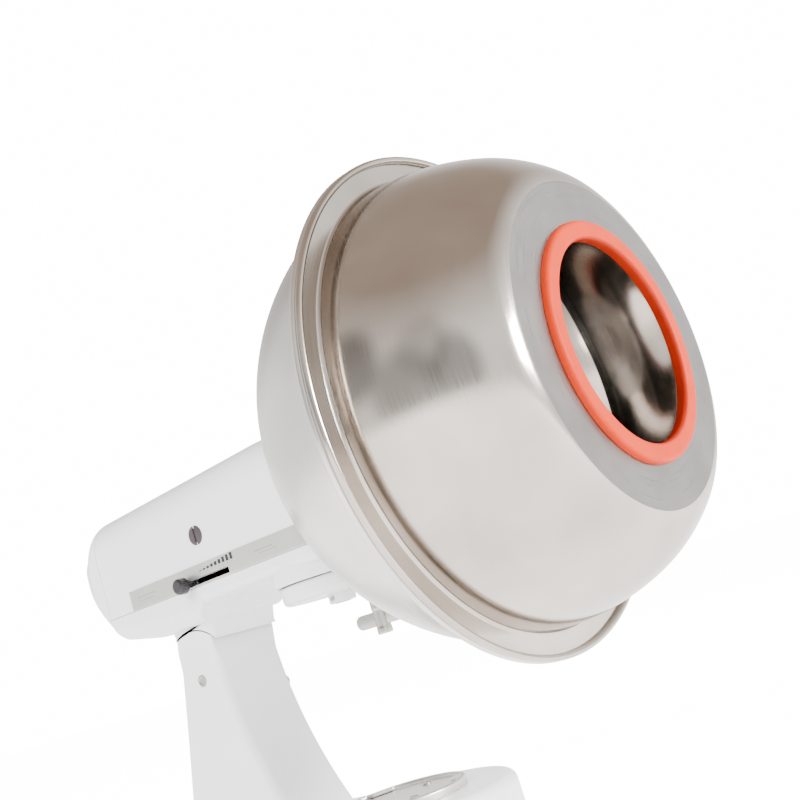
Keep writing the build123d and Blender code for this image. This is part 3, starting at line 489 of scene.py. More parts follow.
# Ground bar stock: bright with fine lines along the grinding
GROUND = Finish("ground_shaft_steel", "#B9B6B1", "#A7A39D", 0.24, metallic=1.0, grain_mm=0.5, bump=0.003)
GEAR = Finish("machined_gear_steel", "#8E8C8A", "#7C7A78", 0.34, metallic=1.0, grain_mm=0.6, bump=0.006)
ZINC = Finish("bright_zinc_plate", "#C4C6C9", "#B2B5B9", 0.26, metallic=1.0, grain_mm=0.7, bump=0.005)
BRONZE = Finish("sintered_bronze", "#B0844C", "#96703F", 0.45, metallic=1.0, grain_mm=0.35, bump=0.012)
COPPER = Finish("enamelled_copper_winding", "#B4673B", "#93502C", 0.3, metallic=0.8, coat=0.4, grain_mm=0.9,
                bump=0.08, pattern=Pattern.EVEN)
LAMINATE = Finish("varnished_laminations", "#55565B", "#46474B", 0.42, metallic=0.9, grain_mm=0.6, bump=0.03)
# Hinge seat faces: painted shade, a near-black metal finish that shows only in the joint and darkens it
HINGE_JOINT_SHADE = Finish("painted_hinge_joint_shade", "#2E2E30", "#262628", 0.6, metallic=0.4, grain_mm=0.5, bump=0.01)
ALLOY = Finish("as_cast_aluminium", "#9FA1A3", "#8F9193", 0.55, metallic=0.9, grain_mm=0.8, bump=0.03)
NYLON = Finish("natural_nylon", "#DAD6C6", "#CFCAB8", 0.5, grain_mm=0.9, bump=0.01, ior=1.53)
CARBON = Finish("pressed_carbon", "#1A1A1B", "#232324", 0.65, grain_mm=0.4, bump=0.02)
BOARD = Finish("glass_epoxy_board", "#1F5634", "#184628", 0.4, coat=0.3, grain_mm=0.5, bump=0.01)

SLOT_FINISH = {
    "white_enamel": ENAMEL, "satin_band": BAND, "pan_steel": SATIN_BOWL, "silicone_ring": SILICONE,
    "black_plastic": BLACK, "brush_cap_plastic": CAP, "foot_rubber": RUBBER, "gear_steel": GEAR,
    "shaft_steel": GROUND, "zinc_screw": ZINC, "bronze": BRONZE, "copper": COPPER, "laminate": LAMINATE,
    "cast_alloy": ALLOY, "nylon": NYLON, "carbon": CARBON, "board": BOARD,
}


# ---------------------------------------------------------------- coating pan
@dataclass
class CoatingPan:
    """The two-part spun steel pan with its rubber mouth ring."""

    sheet: float = 1.0
    bead: float = 2.6
    rear_ball: float = 181.0
    rear_shift: float = 13.7
    shaft_bore: float = 8.0
    body_radius: float = 174.0
    front_arcs: tuple = ((176.0, 24.2), (114.0, 45.8), (27.5, 79.3))
    corner: float = 3.2
    segments: int = 240

    def __post_init__(self) -> None:
        """Takes the pan's places from the frame."""
        self.rim_x = float(low("pan_front_shell")[0])
        self.axis_z = float(middle("pan_front_shell")[2])
        self.rim_radius = float(high("pan_front_shell")[2]) - self.axis_z
        self.back_s = float(low("pan_rear_shell")[0]) - self.rim_x
        self.origin = np.array([self.rim_x, 0.0, self.axis_z])

    def rear_bowl(self) -> bpy.types.Object:
        """Rear shell: an arc of a ball from the flat back to a filleted flange with a rolled edge."""
        ball, shift, sheet = self.rear_ball, self.rear_shift, self.sheet
        back, inner = self.back_s, self.rear_ball - self.sheet

        def station(position: float, radius: float) -> float:
            """Angle of a station on the ball, in degrees."""
            return math.degrees(math.acos((position - shift) / radius))

        neck = self.corner + sheet
        outer = arc((shift, 0), ball, station(back, ball), station(-neck, ball), 60)
        inner_arc = arc((shift, 0), inner, station(-neck * 0.4, inner), station(back + sheet, inner), 60)
        flange_out = self.rim_radius - self.bead - 2.05
        rise = np.array([outer[-1], (-sheet, outer[-1][1] + 0.6), (-sheet, flange_out)])
        flange = filleted(list(rise), [0, self.corner, 0], closed=False)[1:]
        dip = math.degrees(math.asin((self.bead - sheet) / self.bead))
        centre = (-self.bead, self.rim_radius - self.bead)
        roll = arc(centre, self.bead, dip - 90.0, -360.0, 26)
        loop = np.concatenate([
            [(back, self.shaft_bore)],
            filleted([(back, 60.0), tuple(outer[0]), tuple(outer[3])], [0, 4.0, 0], False),
            outer[4:], flange, roll[1:], [(0.0, inner_arc[0][1] + 1.0)], inner_arc,
            [(back + sheet, self.shaft_bore)]])
        inside = np.zeros(len(loop), bool)
        inside[-len(inner_arc) - 2:-1] = True
        shape = Shape()
        shape.turned(loop, self.origin, "x", self.segments, inside)
        return shape.piece("pan_rear_bowl", "pan", "pan_steel", "pan_rear_shell",
                           finishes=[SATIN_BOWL.material(), MIRROR.material()])

    def front_profile(self, radius_shift: float) -> Array:
        """Tangent arcs of the front bowl from the rim plane to the face's edge, moved in by a distance."""
        radius, start, pieces = self.front_arcs[0][0], 0.0, []
        centre = np.array([0.0, self.body_radius - radius])
        for next_radius, end in self.front_arcs:
            turn = math.radians(start)
            centre = centre + (radius - next_radius) * np.array([math.sin(turn), math.cos(turn)])
            radius = next_radius
            pieces.append(arc(tuple(centre), radius - radius_shift, 90.0 - start, 90.0 - end, 26))
            start = end
        return np.concatenate([pieces[0]] + [piece[1:] for piece in pieces[1:]])

    def front_bowl(self) -> bpy.types.Object:
        """Front shell: three tangent arcs from a filleted flange to a crease, then the flat face."""
        sheet, bead = self.sheet, self.bead
        outer, inner = self.front_profile(0.0), self.front_profile(sheet)
        face, mouth = float(outer[-1][0]), self.mouth_radius()
        dip = math.degrees(math.asin((bead - sheet) / bead))
        centre = (bead, self.rim_radius - bead)
        roll = arc(centre, bead, 180.0, -90.0 - dip, 26)
        start = outer[outer[:, 0] > self.corner + sheet]
        flange = filleted([(sheet, self.rim_radius - bead - 2.05), (sheet, float(start[0][1]) + 0.2),
                           tuple(start[1])], [0, self.corner, 0], closed=False)
        crease = [tuple(outer[-2]), (face, float(outer[-1][1])), (face, 95.0)]
        lip = filleted(crease, [0, 2.2, 0], closed=False)[1:-1]
        loop = np.concatenate([[(0.0, inner[0][1])], roll, flange[:-1], start[1:-1], lip,
                               [(face, 110.0), (face, mouth), (face - sheet, mouth)], inner[::-1][:-1]])
        kinds = np.zeros(len(loop), int)
        first_face = len(loop) - len(inner) + 1 - 3
        kinds[first_face - 1:first_face + 1] = 1
        kinds[first_face + 1:] = 2
        kinds[0] = 2
        shape = Shape()
        shape.turned(loop, self.origin, "x", self.segments, kinds)
        return shape.piece("pan_front_bowl", "pan", "pan_steel", "pan_front_shell",
                           finishes=[BOWL.material(), FACE.material(), MIRROR.material()])

    def mouth_radius(self) -> float:
        """Radius of the hole in the face: the ring grips it 11.1 mm inside its own outer edge."""
        return float(high("mouth_ring")[2]) - self.axis_z - 11.1

    def mouth_ring(self) -> bpy.types.Object:
        """Moulded ring that grips the mouth's edge: a crowned lip, a groove and a small lip behind."""
        outer_r = float(high("mouth_ring")[2]) - self.axis_z
        inner_r, mouth = outer_r - 15.0, self.mouth_radius()
        front, back = float(high("mouth_ring")[0]) - self.rim_x, float(low("mouth_ring")[0]) - self.rim_x
        face = float(high("pan_front_shell")[0]) - self.rim_x
        lip = [(back, mouth + 6.5), (face - self.sheet, mouth + 6.5), (face - self.sheet, mouth),
               (face, mouth), (face, outer_r), (front, outer_r - 1.0), (front, inner_r + 0.2),
               (back, inner_r + 1.0)]
        loop = filleted(lip, [1.0, 0, 0, 0, 0.4, 3.4, 3.4, 1.2], steps=9)
        # Quads inside the bore take the darker silicone: painted shade in the hole
        bore = (np.roll(loop[:, 1], -1) + loop[:, 1]) / 2 < inner_r + 1.8
        shape = Shape()
        shape.turned(loop, self.origin, "x", 200, bore)
        return shape.piece("mouth_ring_moulding", "pan", "silicone_ring", "mouth_ring",
                           finishes=[SILICONE.material(), SILICONE_BORE_SHADE.material()])

    def build(self) -> None:
        """Makes the pan's three pieces."""
        self.rear_bowl()
        self.front_bowl()
        self.mouth_ring()


# ---------------------------------------------------------------- head
@dataclass
class Head:
    """The head's castings, as one form that is cut at its joints, and what is on them."""

    plan_corner: float = 42.0
    crown: float = 34.0
    wall: float = 3.2
    joint_gap: float = 0.25
    boss_radius: float = 52.5
    saddle_half: float = 37.0
    seat_gap_radius: float = 44.8
    lug_half: float = 20.0
    arm_reach: float = 62.0

    def __post_init__(self) -> None:
        """Takes the head's places from the frame and rounds its side outline."""
        self.rear, self.front = float(low("rear_cover")[0]), float(high("gear_case")[0])
        self.half, self.top = float(high("head_housing")[1]), float(high("head_housing")[2])
        self.seam, self.cover = float(high("gear_case")[2]), float(high("rear_cover")[0])
        self.seam = float(low("head_housing")[2])
        self.hub_z = float(middle("adapter_tube")[2])
        self.pin = middle("hinge_pin")
        self.planet = middle("planetary_housing")
        rear, front, top = self.rear, self.front, self.top
        upper = [(front, 300.0), (front, 336.0), (front - 22.0, top), (-40.0, top), (rear + 39.0, top - 8.0),
                 (rear, 306.0), (rear + 3.5, 292.0)]
        lower = [(rear, 306.0), (rear + 3.5, 292.0), (-252.0, 231.0), (-205.0, 223.0), (-136.0, 223.0),
                 (-126.0, 239.0), (front - 8.0, 239.0), (front, 247.0), (front, 270.0)]
        self.upper = filleted(upper, [0, 12, 40, 60, 14, 12, 0], closed=False, steps=10)
        self.upper = self.upper[: int(np.argmin(self.upper[:, 0])) + 1]
        self.lower = filleted(lower, [0, 26, 8, 14, 5, 5, 6, 6, 0], closed=False, steps=10)

    def top_at(self, x: Array) -> Array:
        """Height of the crown line at stations along the head."""
        line = self.upper[::-1]
        return np.interp(x, line[:, 0], line[:, 1])

    def bottom_at(self, x: Array) -> Array:
        """Height of the keel line at stations along the head."""
        order = np.argsort(self.lower[:, 0], kind="stable")
        return np.interp(x, self.lower[order, 0], self.lower[order, 1])

    def half_at(self, x: Array) -> Array:
        """Half width: a rounded rectangle in plan, whose corner is the root of r squared less d squared."""
        r = self.plan_corner
        into = np.maximum(np.maximum(x - (self.front - r), (self.rear + r) - x), 0.0)
        return self.half - r + np.sqrt(np.maximum(r * r - into * into, 0.0))

    def keel_round(self, x: Array) -> Array:
        """Radius of the lower edge: wide over the hinge saddle, small in front of it."""
        return 7.0 + 9.0 * np.clip((-128.0 - x) / 20.0, 0.0, 1.0)

    def stations(self, start: float, end: float, extra: tuple = ()) -> Array:
        """Stations along the head, closer where the plan and the side outline turn."""
        r = self.plan_corner
        angle = np.linspace(0.0, math.pi / 2, 22)
        marks = [self.front - r + r * np.sin(angle), self.rear + r - r * np.sin(angle)]
        marks += [np.arange(start, end, 4.0), np.arange(-140.0, -120.0, 1.0), np.array(extra, float)]
        every = np.unique(np.round(np.concatenate(marks), 4))
        return np.r_[start, every[(every > start + 0.3) & (every < end - 0.3)], end]

    def side(self, x: Array, half: Array, marks: list, upward: bool) -> Array:
        """Half section at each station, from the seam to the middle of the crown or of the keel.

        The flank is straight at the half width, the corner is a quarter circle, and the rest runs to the
        middle.

        Args:
            x: Stations.
            half: Half width at each.
            marks: Heights on the flank that are the same at every station.
            upward: True for the crown.

        Returns:
            Stations by points by 3, with Y positive.
        """
        limit = self.top_at(x) if upward else self.bottom_at(x)
        sign = 1.0 if upward else -1.0
        bend = np.full_like(x, self.crown) if upward else self.keel_round(x)
        bend = np.minimum(np.minimum(bend, half * 0.999), np.abs(limit - marks[-1]) * 0.98)
        flank_end = limit - sign * bend
        share = np.linspace(0.0, 1.0, 7)[1:]
        heights = [np.full_like(x, mark) for mark in marks]
        heights += [marks[-1] + (flank_end - marks[-1]) * s for s in share]
        rows = [np.column_stack([x, half, h]) for h in heights]
        for angle in np.linspace(0.0, math.pi / 2, 13)[1:]:
            y = half - bend * (1.0 - math.cos(angle))
            rows.append(np.column_stack([x, y, flank_end + sign * bend * math.sin(angle)]))
        flat = half - bend
        rows += [np.column_stack([x, flat * s, limit]) for s in np.linspace(1.0, 0.0, 7)[1:]]
        return np.stack(rows, axis=1)

    def skin(self, start: float, end: float, marks: list, upward: bool, extra: tuple = ()) -> Array:
        """Whole section from one side of the seam to the other, with the nose closed by shrinking widths."""
        x = self.stations(start, end, extra)
        half = self.half_at(x)
        x = np.r_[x, np.full(3, end)]
        half = np.r_[half, half[-1] * np.array([0.75, 0.4, 0.0]) + 0.004]
        right = self.side(x, half, marks, upward)
        left = right[:, ::-1].copy()
        right = right * np.array([1.0, -1.0, 1.0])
        return np.concatenate([right, left[:, 1:]], axis=1)

    def inner(self, outer: Array) -> Array:
        """The inner face of a casting: its points drawn to the head's middle line by the wall."""
        centre = outer * np.array([1.0, 0.0, 0.0]) + np.array([0.0, 0.0, self.seam])
        towards = outer - centre
        size = np.linalg.norm(towards[:, :, 1:], axis=2, keepdims=True)
        factor = np.clip(1.0 - self.wall * 1.1 / np.maximum(size, 1e-6), 0.0, 1.0)
        moved = centre + towards * factor
        moved[:, :, 0] = np.clip(outer[:, :, 0], self.rear + self.wall, self.front - self.wall)
        on_seam = np.abs(outer[:, :, 2] - outer[0, 0, 2]) < 1e-6
        moved[:, :, 2] = np.where(on_seam, outer[:, :, 2], moved[:, :, 2])
        return moved

    def housing(self) -> bpy.types.Object:
        """Upper casting: crown skin from the seam up, a hole for the speed lever, and the hub's collar."""
        slot_low, slot_high = self.slot_box()
        marks = [self.seam + self.joint_gap, slot_low[2], slot_high[2], slot_high[2] + 10.0]
        ends = (slot_low[0], slot_high[0])
        outer = self.skin(self.cover + self.joint_gap, self.front, marks, True, ends)
        mid = 0.25 * (outer[:-1, :-1] + outer[1:, :-1] + outer[:-1, 1:] + outer[1:, 1:])
        in_slot = (mid[:, :, 0] > slot_low[0]) & (mid[:, :, 0] < slot_high[0]) & (mid[:, :, 1] < -40.0)
        in_slot &= (mid[:, :, 2] > slot_low[2]) & (mid[:, :, 2] < slot_high[2])
        in_hub = (mid[:, :, 0] > 30.0) & (np.hypot(mid[:, :, 1], mid[:, :, 2] - self.hub_z) < 18.0)
        shape = Shape()
        shape.slab(outer, self.inner(outer), keep=~(in_slot | in_hub))
        tube = high("head_housing")[0]
        collar = filleted([(16.0, 17.0), (16.0, 25.0), (tube, 25.0), (tube, 17.0)], [0, 0, 1.6, 0.8], steps=6)
        shape.turned(collar, np.array([0.0, 0.0, self.hub_z]), "x", 96)
        return shape.piece("head_top_housing", "head", "white_enamel", "head_housing",
                           finishes=[ENAMEL.material()])

    def slot_box(self) -> tuple[Array, Array]:
        """Lowest and highest corners of the slot that the speed lever slides in."""
        rear, z = float(low("speed_lever")[0]) - 1.5, float(middle("speed_knob")[2])
        return np.array([rear, -54.0, z - 2.8]), np.array([rear + 61.0, -50.0, z + 2.8])

    def rear_cover(self) -> bpy.types.Object:
        """End casting: the same form behind the joint, closed to the rear, as a full section."""
        x = self.stations(self.rear, self.cover - self.joint_gap)
        half, top, bottom = self.half_at(x), self.top_at(x), self.bottom_at(x)
        tall = np.maximum(top - bottom, 0.02)
        crown = np.minimum(np.minimum(self.crown, half * 0.999), tall * 0.49)
        keel = np.minimum(np.minimum(self.keel_round(x), half * 0.999), tall * 0.49)
        rows = [np.column_stack([x, (half - keel) * s, bottom]) for s in np.linspace(0.0, 1.0, 7)]
        for angle in np.linspace(0.0, math.pi / 2, 10)[1:]:
            rows.append(np.column_stack([x, half - keel + keel * math.sin(angle),
                                         bottom + keel * (1.0 - math.cos(angle))]))
        start, end = bottom + keel, top - crown
        rows += [np.column_stack([x, half, start + (end - start) * s]) for s in np.linspace(0.0, 1.0, 10)[1:]]
        for angle in np.linspace(0.0, math.pi / 2, 13)[1:]:
            rows.append(np.column_stack([x, half - crown * (1.0 - math.cos(angle)),
                                         top - crown + crown * math.sin(angle)]))
        rows += [np.column_stack([x, (half - crown) * s, top]) for s in np.linspace(1.0, 0.0, 7)[1:]]
        left = np.stack(rows, axis=1)
        loop = np.concatenate([left, left[:, -2:0:-1] * np.array([1.0, -1.0, 1.0])], axis=1)
        core = [np.maximum(x, self.rear + 12.0), np.zeros_like(x), 0.5 * (top + bottom)]
        centre = np.column_stack(core)[:, None]
        reach = np.linalg.norm(loop - centre, axis=2, keepdims=True)
        inner = centre + (loop - centre) * np.clip(1.0 - 3.0 * self.wall / np.maximum(reach, 9.0), 0.3, 1.0)
        inner[-1, :, 0] = loop[-1, :, 0]
        shape = Shape()
        shape.slab(loop, inner, wrap_columns=True)
        return shape.piece("head_rear_cover", "head", "white_enamel", "rear_cover",
                           finishes=[ENAMEL.material()])

    def gear_case(self) -> bpy.types.Object:
        """Lower casting: keel skin, saddle over the column, hinge arm and the ring gear's boss."""
        marks = [self.seam - self.joint_gap, self.seam - 4.0]
        outer = self.skin(self.cover + self.joint_gap, self.front, marks, False)
        shape = Shape()
        shape.slab(outer, self.inner(outer))
        px, pz, gap = self.pin[0], self.pin[2], self.seat_gap_radius
        left, right = px - 22.0, px + 31.5
        left_z, right_z = pz + math.sqrt(gap**2 - 22.0**2), pz + math.sqrt(gap**2 - 31.5**2)
        seat = arc_through((left, left_z), (px, pz + gap), (right, right_z), 40)
        outline = np.concatenate([[(left - 2.4, 228.0)], seat, [(right, 208.0), (right + 5.5, 228.0)]])
        outline = resampled(outline, 1.6)
        keep_sharp = np.hypot(outline[:, 0] - px, outline[:, 1] - pz) < gap + 1.5
        shape.prism(outline, -self.saddle_half, self.saddle_half, np.where(keep_sharp, 0.8, 3.0), "y")
        # The seat quads take the dark finish: painted shade in the joint over the column
        shape.mark_seat(px, pz, gap, 1)
        low_edge, high_edge = math.radians(63.0), math.radians(86.0)
        arm = [(px, pz), (px + self.arm_reach * math.cos(low_edge), pz + self.arm_reach * math.sin(low_edge)),
               (px + self.arm_reach * math.cos(high_edge), pz + self.arm_reach * math.sin(high_edge))]
        shape.prism(resampled(np.array(arm), 2.0), -self.lug_half, self.lug_half, 1.0, "y")
        lug = self.lug_half
        hub = filleted([(-lug, 5.6), (-lug, 15.0), (lug, 15.0), (lug, 5.6)], [0, 1.2, 1.2, 0])
        shape.turned(hub, np.array([px, 0.0, pz]), "y", 72)
        floor = float(high("ring_gear")[2])
        rim = float(low("ring_gear")[2]) - 1.0
        boss = filleted([(rim, 49.6), (rim, self.boss_radius), (floor + 3.0, self.boss_radius),
                         (floor + 3.0, 12.0), (floor, 12.0), (floor, 49.6)], [0.6, 2.4, 0, 0, 0, 0])
        shape.turned(boss, np.array([self.planet[0], 0.0, 0.0]), "z", 120)
        return shape.piece("head_gear_case", "head", "white_enamel", "gear_case",
                           finishes=[ENAMEL.material(), HINGE_JOINT_SHADE.material()])

    def trim_band(self) -> bpy.types.Object:
        """Satin strip along both flanks and round the nose, a strip carried along the plan outline."""
        thick, rear = 0.9, float(low("trim_band")[0])
        bottom, top = float(low("trim_band")[2]), float(high("trim_band")[2])
        slot_low, slot_high = self.slot_box()
        straight = np.arange(rear, self.front - self.plan_corner, 6.0)
        straight = np.unique(np.r_[straight, slot_low[0], slot_high[0]])
        r = self.plan_corner
        turn = arc((self.front - r, -(self.half - r)), r, -90.0, 0.0, 24)
        right = np.concatenate([np.column_stack([straight, np.full_like(straight, -self.half)]), turn[1:]])
        path = np.concatenate([right, (right * np.array([1.0, -1.0]))[::-1]])
        ahead = np.gradient(path, axis=0)
        normal = np.column_stack([ahead[:, 1], -ahead[:, 0]])
        normal /= np.linalg.norm(normal, axis=1, keepdims=True)
        levels = np.array([bottom, bottom + 0.35, slot_low[2], slot_high[2], top - 0.35, top])
        proud = np.array([thick - 0.35, thick, thick, thick, thick, thick - 0.35])
        flat = path[:, None] + normal[:, None] * proud[None, :, None]
        outer = np.concatenate([flat, np.broadcast_to(levels[None, :, None], (*flat.shape[:2], 1))], axis=2)
        back = path[:, None] + normal[:, None] * np.full(6, 0.03)[None, :, None]
        inner = np.concatenate([back, np.broadcast_to(levels[None, :, None], (*flat.shape[:2], 1))], axis=2)
        mid = 0.25 * (outer[:-1, :-1] + outer[1:, :-1] + outer[:-1, 1:] + outer[1:, 1:])
        hole = (mid[:, :, 0] > slot_low[0]) & (mid[:, :, 0] < slot_high[0]) & (mid[:, :, 1] < 0)
        hole &= (mid[:, :, 2] > slot_low[2]) & (mid[:, :, 2] < slot_high[2])
        shape = Shape()
        shape.slab(outer, inner, keep=~hole)
        return shape.piece("head_trim_band", "head", "satin_band", "trim_band", finishes=[BAND.material()])

    def marks(self) -> list:
        """Printed speed scale: bars that grow forwards, a tick under each, and plain lines at both ends."""
        face = -self.half - 0.95
        bars = Shape()
        for count in range(9):
            x = -118.0 + count * 5.2
            tall = 0.8 + 0.62 * count
            corners = np.array([(0.0, 0.0), (3.4, 0.0), (3.4, tall), (0.0, tall)]) + (x, 264.6)
            bars.prism(resampled(corners, 0.5), face, face + 0.08, 0.02, "y", rings=2)
        black = bars.piece("speed_scale_bars", "head", "black_plastic", finishes=[MARK.material()])
        lines = Shape()
        runs = [(-118.0 + 5.2 * k, 1.6, 262.6, 0.5) for k in range(9)]
        runs += [(-208.0, 26.0, 263.0, 0.7), (-206.0, 22.0, 259.6, 0.5)]
        runs += [(-46.0, 22.0, 262.6, 0.9), (-42.0, 22.0, 260.2, 0.5)]
        for x, length, z, tall in runs:
            corners = np.array([(0.0, 0.0), (length, 0.0), (length, tall), (0.0, tall)]) + (x, z)
            lines.prism(resampled(corners, 0.4), face, face + 0.08, 0.02, "y", rings=2)
        grey = lines.piece("speed_scale_lines", "head", "black_plastic", finishes=[FAINT.material()])
        return [black, grey]

    def build(self) -> None:
        """Makes the castings, the band and its marks."""
        self.housing()
        self.rear_cover()
        self.gear_case()
        self.trim_band()
        self.marks()


def slotted(shape: Shape, origin: Array, axis: Array, slot_axis: Array, radius: float, height: float,
            dome: float, slot_half: float, depth: float) -> None:
    """Adds a round head with a screwdriver slot.

    The grid has columns at chords across the slot and rows along them, so a point at (u, v) lies within the
    circle when v is the chord's half length times the row's share. Its height falls with the fourth power of
    the radius.

    Args:
        shape: Where the head is added.
        origin: Centre of the underside.
        axis: Outward direction.
        slot_axis: Direction of the slot.
        radius: Radius of the head.
        height: Height at the middle.
        dome: How much lower the edge is.
        slot_half: Half width of the slot.
        depth: Depth of the slot.
    """
    across = np.cross(slot_axis, axis)
    bend = np.sin(np.linspace(-math.pi / 2, math.pi / 2, 33)) * radius
    edges = np.array([-slot_half - 0.12, -slot_half, slot_half, slot_half + 0.12])
    u = np.unique(np.r_[bend[np.abs(bend) > slot_half + 0.15], edges])
    share = np.sin(np.linspace(-math.pi / 2, math.pi / 2, 25))
    v = np.sqrt(np.maximum(radius**2 - u**2, 0.0))[:, None] * share[None]
    out = np.hypot(u[:, None], v) / radius
    top = height - dome * out**4 - np.where(np.abs(u)[:, None] <= slot_half + 1e-6, depth, 0.0)
    spread = origin + u[:, None, None] * across + v[:, :, None] * slot_axis
    shape.slab(spread + top[:, :, None] * axis, spread + 0.0 * axis)


@dataclass
class Controls:
    """Speed lever, brush caps, hub screw, lock lever and the small fastenings that show."""

    knob_radius: float = 7.0
    cap_radius: float = 8.5

    def speed_lever(self) -> None:
        """Flat lever with a rounded end, and a moulded knob with a stepped collar."""
        lever_low, lever_high = low("speed_lever"), high("speed_lever")
        x, z = 0.5 * (lever_low[0] + lever_high[0]), middle("speed_knob")[2]
        bar = Shape()
        outline = filleted([(x - 2.6, lever_low[1]), (x + 2.6, lever_low[1]), (x + 4.0, lever_high[1]),
                            (x - 4.0, lever_high[1])], [1.5, 1.5, 0, 0])
        bar.prism(resampled(outline, 1.0), z - 1.5, z + 1.5, 0.5, "z")
        guard = [(x - 4.0, z - 2.4), (x + 4.0, z - 2.4), (x + 4.0, z + 2.4), (x - 4.0, z + 2.4)]
        guard = filleted(guard, [1.0] * 4)
        bar.prism(resampled(guard, 1.0), lever_high[1] - 2.6, lever_high[1], 0.3, "y")
        bar.piece("speed_lever_blade", "speed_control", "satin_band", "speed_lever",
                  finishes=[ZINC.material()])
        near, far = float(low("speed_knob")[1]), float(high("speed_knob")[1])
        r = self.knob_radius
        step = far - 2.3
        profile = filleted([(near, 0.0), (near, r), (step, r), (step, r - 2.0), (far, r - 2.0), (far, 0.0)],
                           [0, 2.2, 0.8, 0, 0.7, 0], steps=7)
        profile = resampled(profile, 0.5, closed=False)
        angle = np.linspace(0.0, TURN, 144, endpoint=False)
        flute = 1.0 - 0.05 * np.clip(np.cos(16 * angle), 0.0, 1.0) ** 2
        knob = Shape()
        knob.turned(profile, np.array([x, 0.0, z]), "y", 144, flute=flute)
        knob.piece("speed_lever_knob", "speed_control", "black_plastic", "speed_knob",
                   finishes=[BLACK.material()])

    def brush_caps(self) -> None:
        """Slotted screw caps over the motor brushes, one on each side."""
        place, half = middle("brush_caps"), float(high("brush_caps")[1])
        caps = Shape()
        for side in (-1.0, 1.0):
            axis = np.array([0.0, side, 0.0])
            origin = np.array([place[0], side * (half - 8.0), place[2]])
            slotted(caps, origin, axis, np.array([0.0, 0.0, 1.0]), self.cap_radius, 8.0, 0.5, 0.8, 0.85)
        caps.piece("motor_brush_caps", "head", "brush_cap_plastic", "brush_caps", finishes=[CAP.material()])

    def hub_screw(self) -> None:
        """Thumb screw of the power hub: a shank and a lobed knob with a rounded rim."""
        place = middle("hub_thumb_screw")
        near, far = float(low("hub_thumb_screw")[1]), float(high("hub_thumb_screw")[1])
        knob = far - 12.0
        shank = filleted([(near, 0.0), (near, 4.0), (knob - 3.0, 4.0), (knob - 3.0, 0.0)], [0, 0.8, 0, 0])
        shape = Shape()
        shape.turned(resampled(shank, 1.0, closed=False), np.array([place[0], 0.0, place[2]]), "y", 48)
        head = filleted([(knob - 3.4, 0.0), (knob - 3.4, 7.0), (knob, 7.0), (knob, 11.0), (far, 11.0),
                         (far, 0.0)], [0, 0.6, 0, 1.2, 2.4, 0], steps=7)
        angle = np.linspace(0.0, TURN, 160, endpoint=False)
        flute = 1.0 - 0.13 * (0.5 + 0.5 * np.cos(8 * angle)) ** 3
        origin = np.array([place[0], 0.0, place[2]])
        shape.turned(resampled(head, 0.6, closed=False), origin, "y", 160, flute=flute)
        shape.piece("hub_screw_knob", "hub_screw", "black_plastic", "hub_thumb_screw",
                    finishes=[BLACK.material()])

    def lock_lever(self) -> None:
        """Head lock: a turned spindle with a flat arm, and a moulded knob at its end."""
        box_low, box_high = low("lock_lever"), high("lock_lever")
        knob_low, knob_high = low("lock_knob"), high("lock_knob")
        z = 0.5 * (knob_low[2] + knob_high[2])
        x = 0.5 * (knob_low[0] + knob_high[0]) + 27.0
        face, tip = float(box_high[1]), float(box_low[0])
        arm = Shape()
        spindle = filleted([(14.0, 0.0), (14.0, 3.45), (face - 3.6, 3.45), (face - 3.6, 5.0), (face, 5.0),
                            (face, 0.0)], [0, 0.4, 0, 0.4, 0.8, 0])
        arm.turned(spindle, np.array([x, 0.0, z]), "y", 64)
        flat = filleted([(x, z - 4.0), (x, z + 4.0), (tip, z + 4.0), (tip, z - 4.0)], [1, 1, 3.6, 3.6])
        arm.prism(resampled(flat, 1.2), face - 3.2, face - 0.1, 0.8, "y")
        foot = float(box_low[2])
        catch = filleted([(x - 3.0, z + 3.5), (x + 3.0, z + 3.5), (x + 3.0, foot), (x - 3.0, foot)], [1] * 4)
        arm.prism(resampled(catch, 1.0), float(box_low[1]), float(box_low[1]) + 6.0, 0.5, "y")
        arm.piece("head_lock_arm", "head_lock", "shaft_steel", "lock_lever", finishes=[GROUND.material()])
        near, far = float(knob_low[1]), float(knob_high[1])
        profile = filleted([(near, 0.0), (near, 5.0), (far - 4.0, 7.0), (far, 7.0), (far, 0.0)],
                           [0, 0.6, 3, 2.4, 0])
        knob = Shape()
        knob.turned(resampled(profile, 0.6, closed=False), np.array([x - 27.0, 0.0, z]), "y", 72)
        knob.piece("head_lock_button", "head_lock", "black_plastic", "lock_knob", finishes=[BLACK.material()])

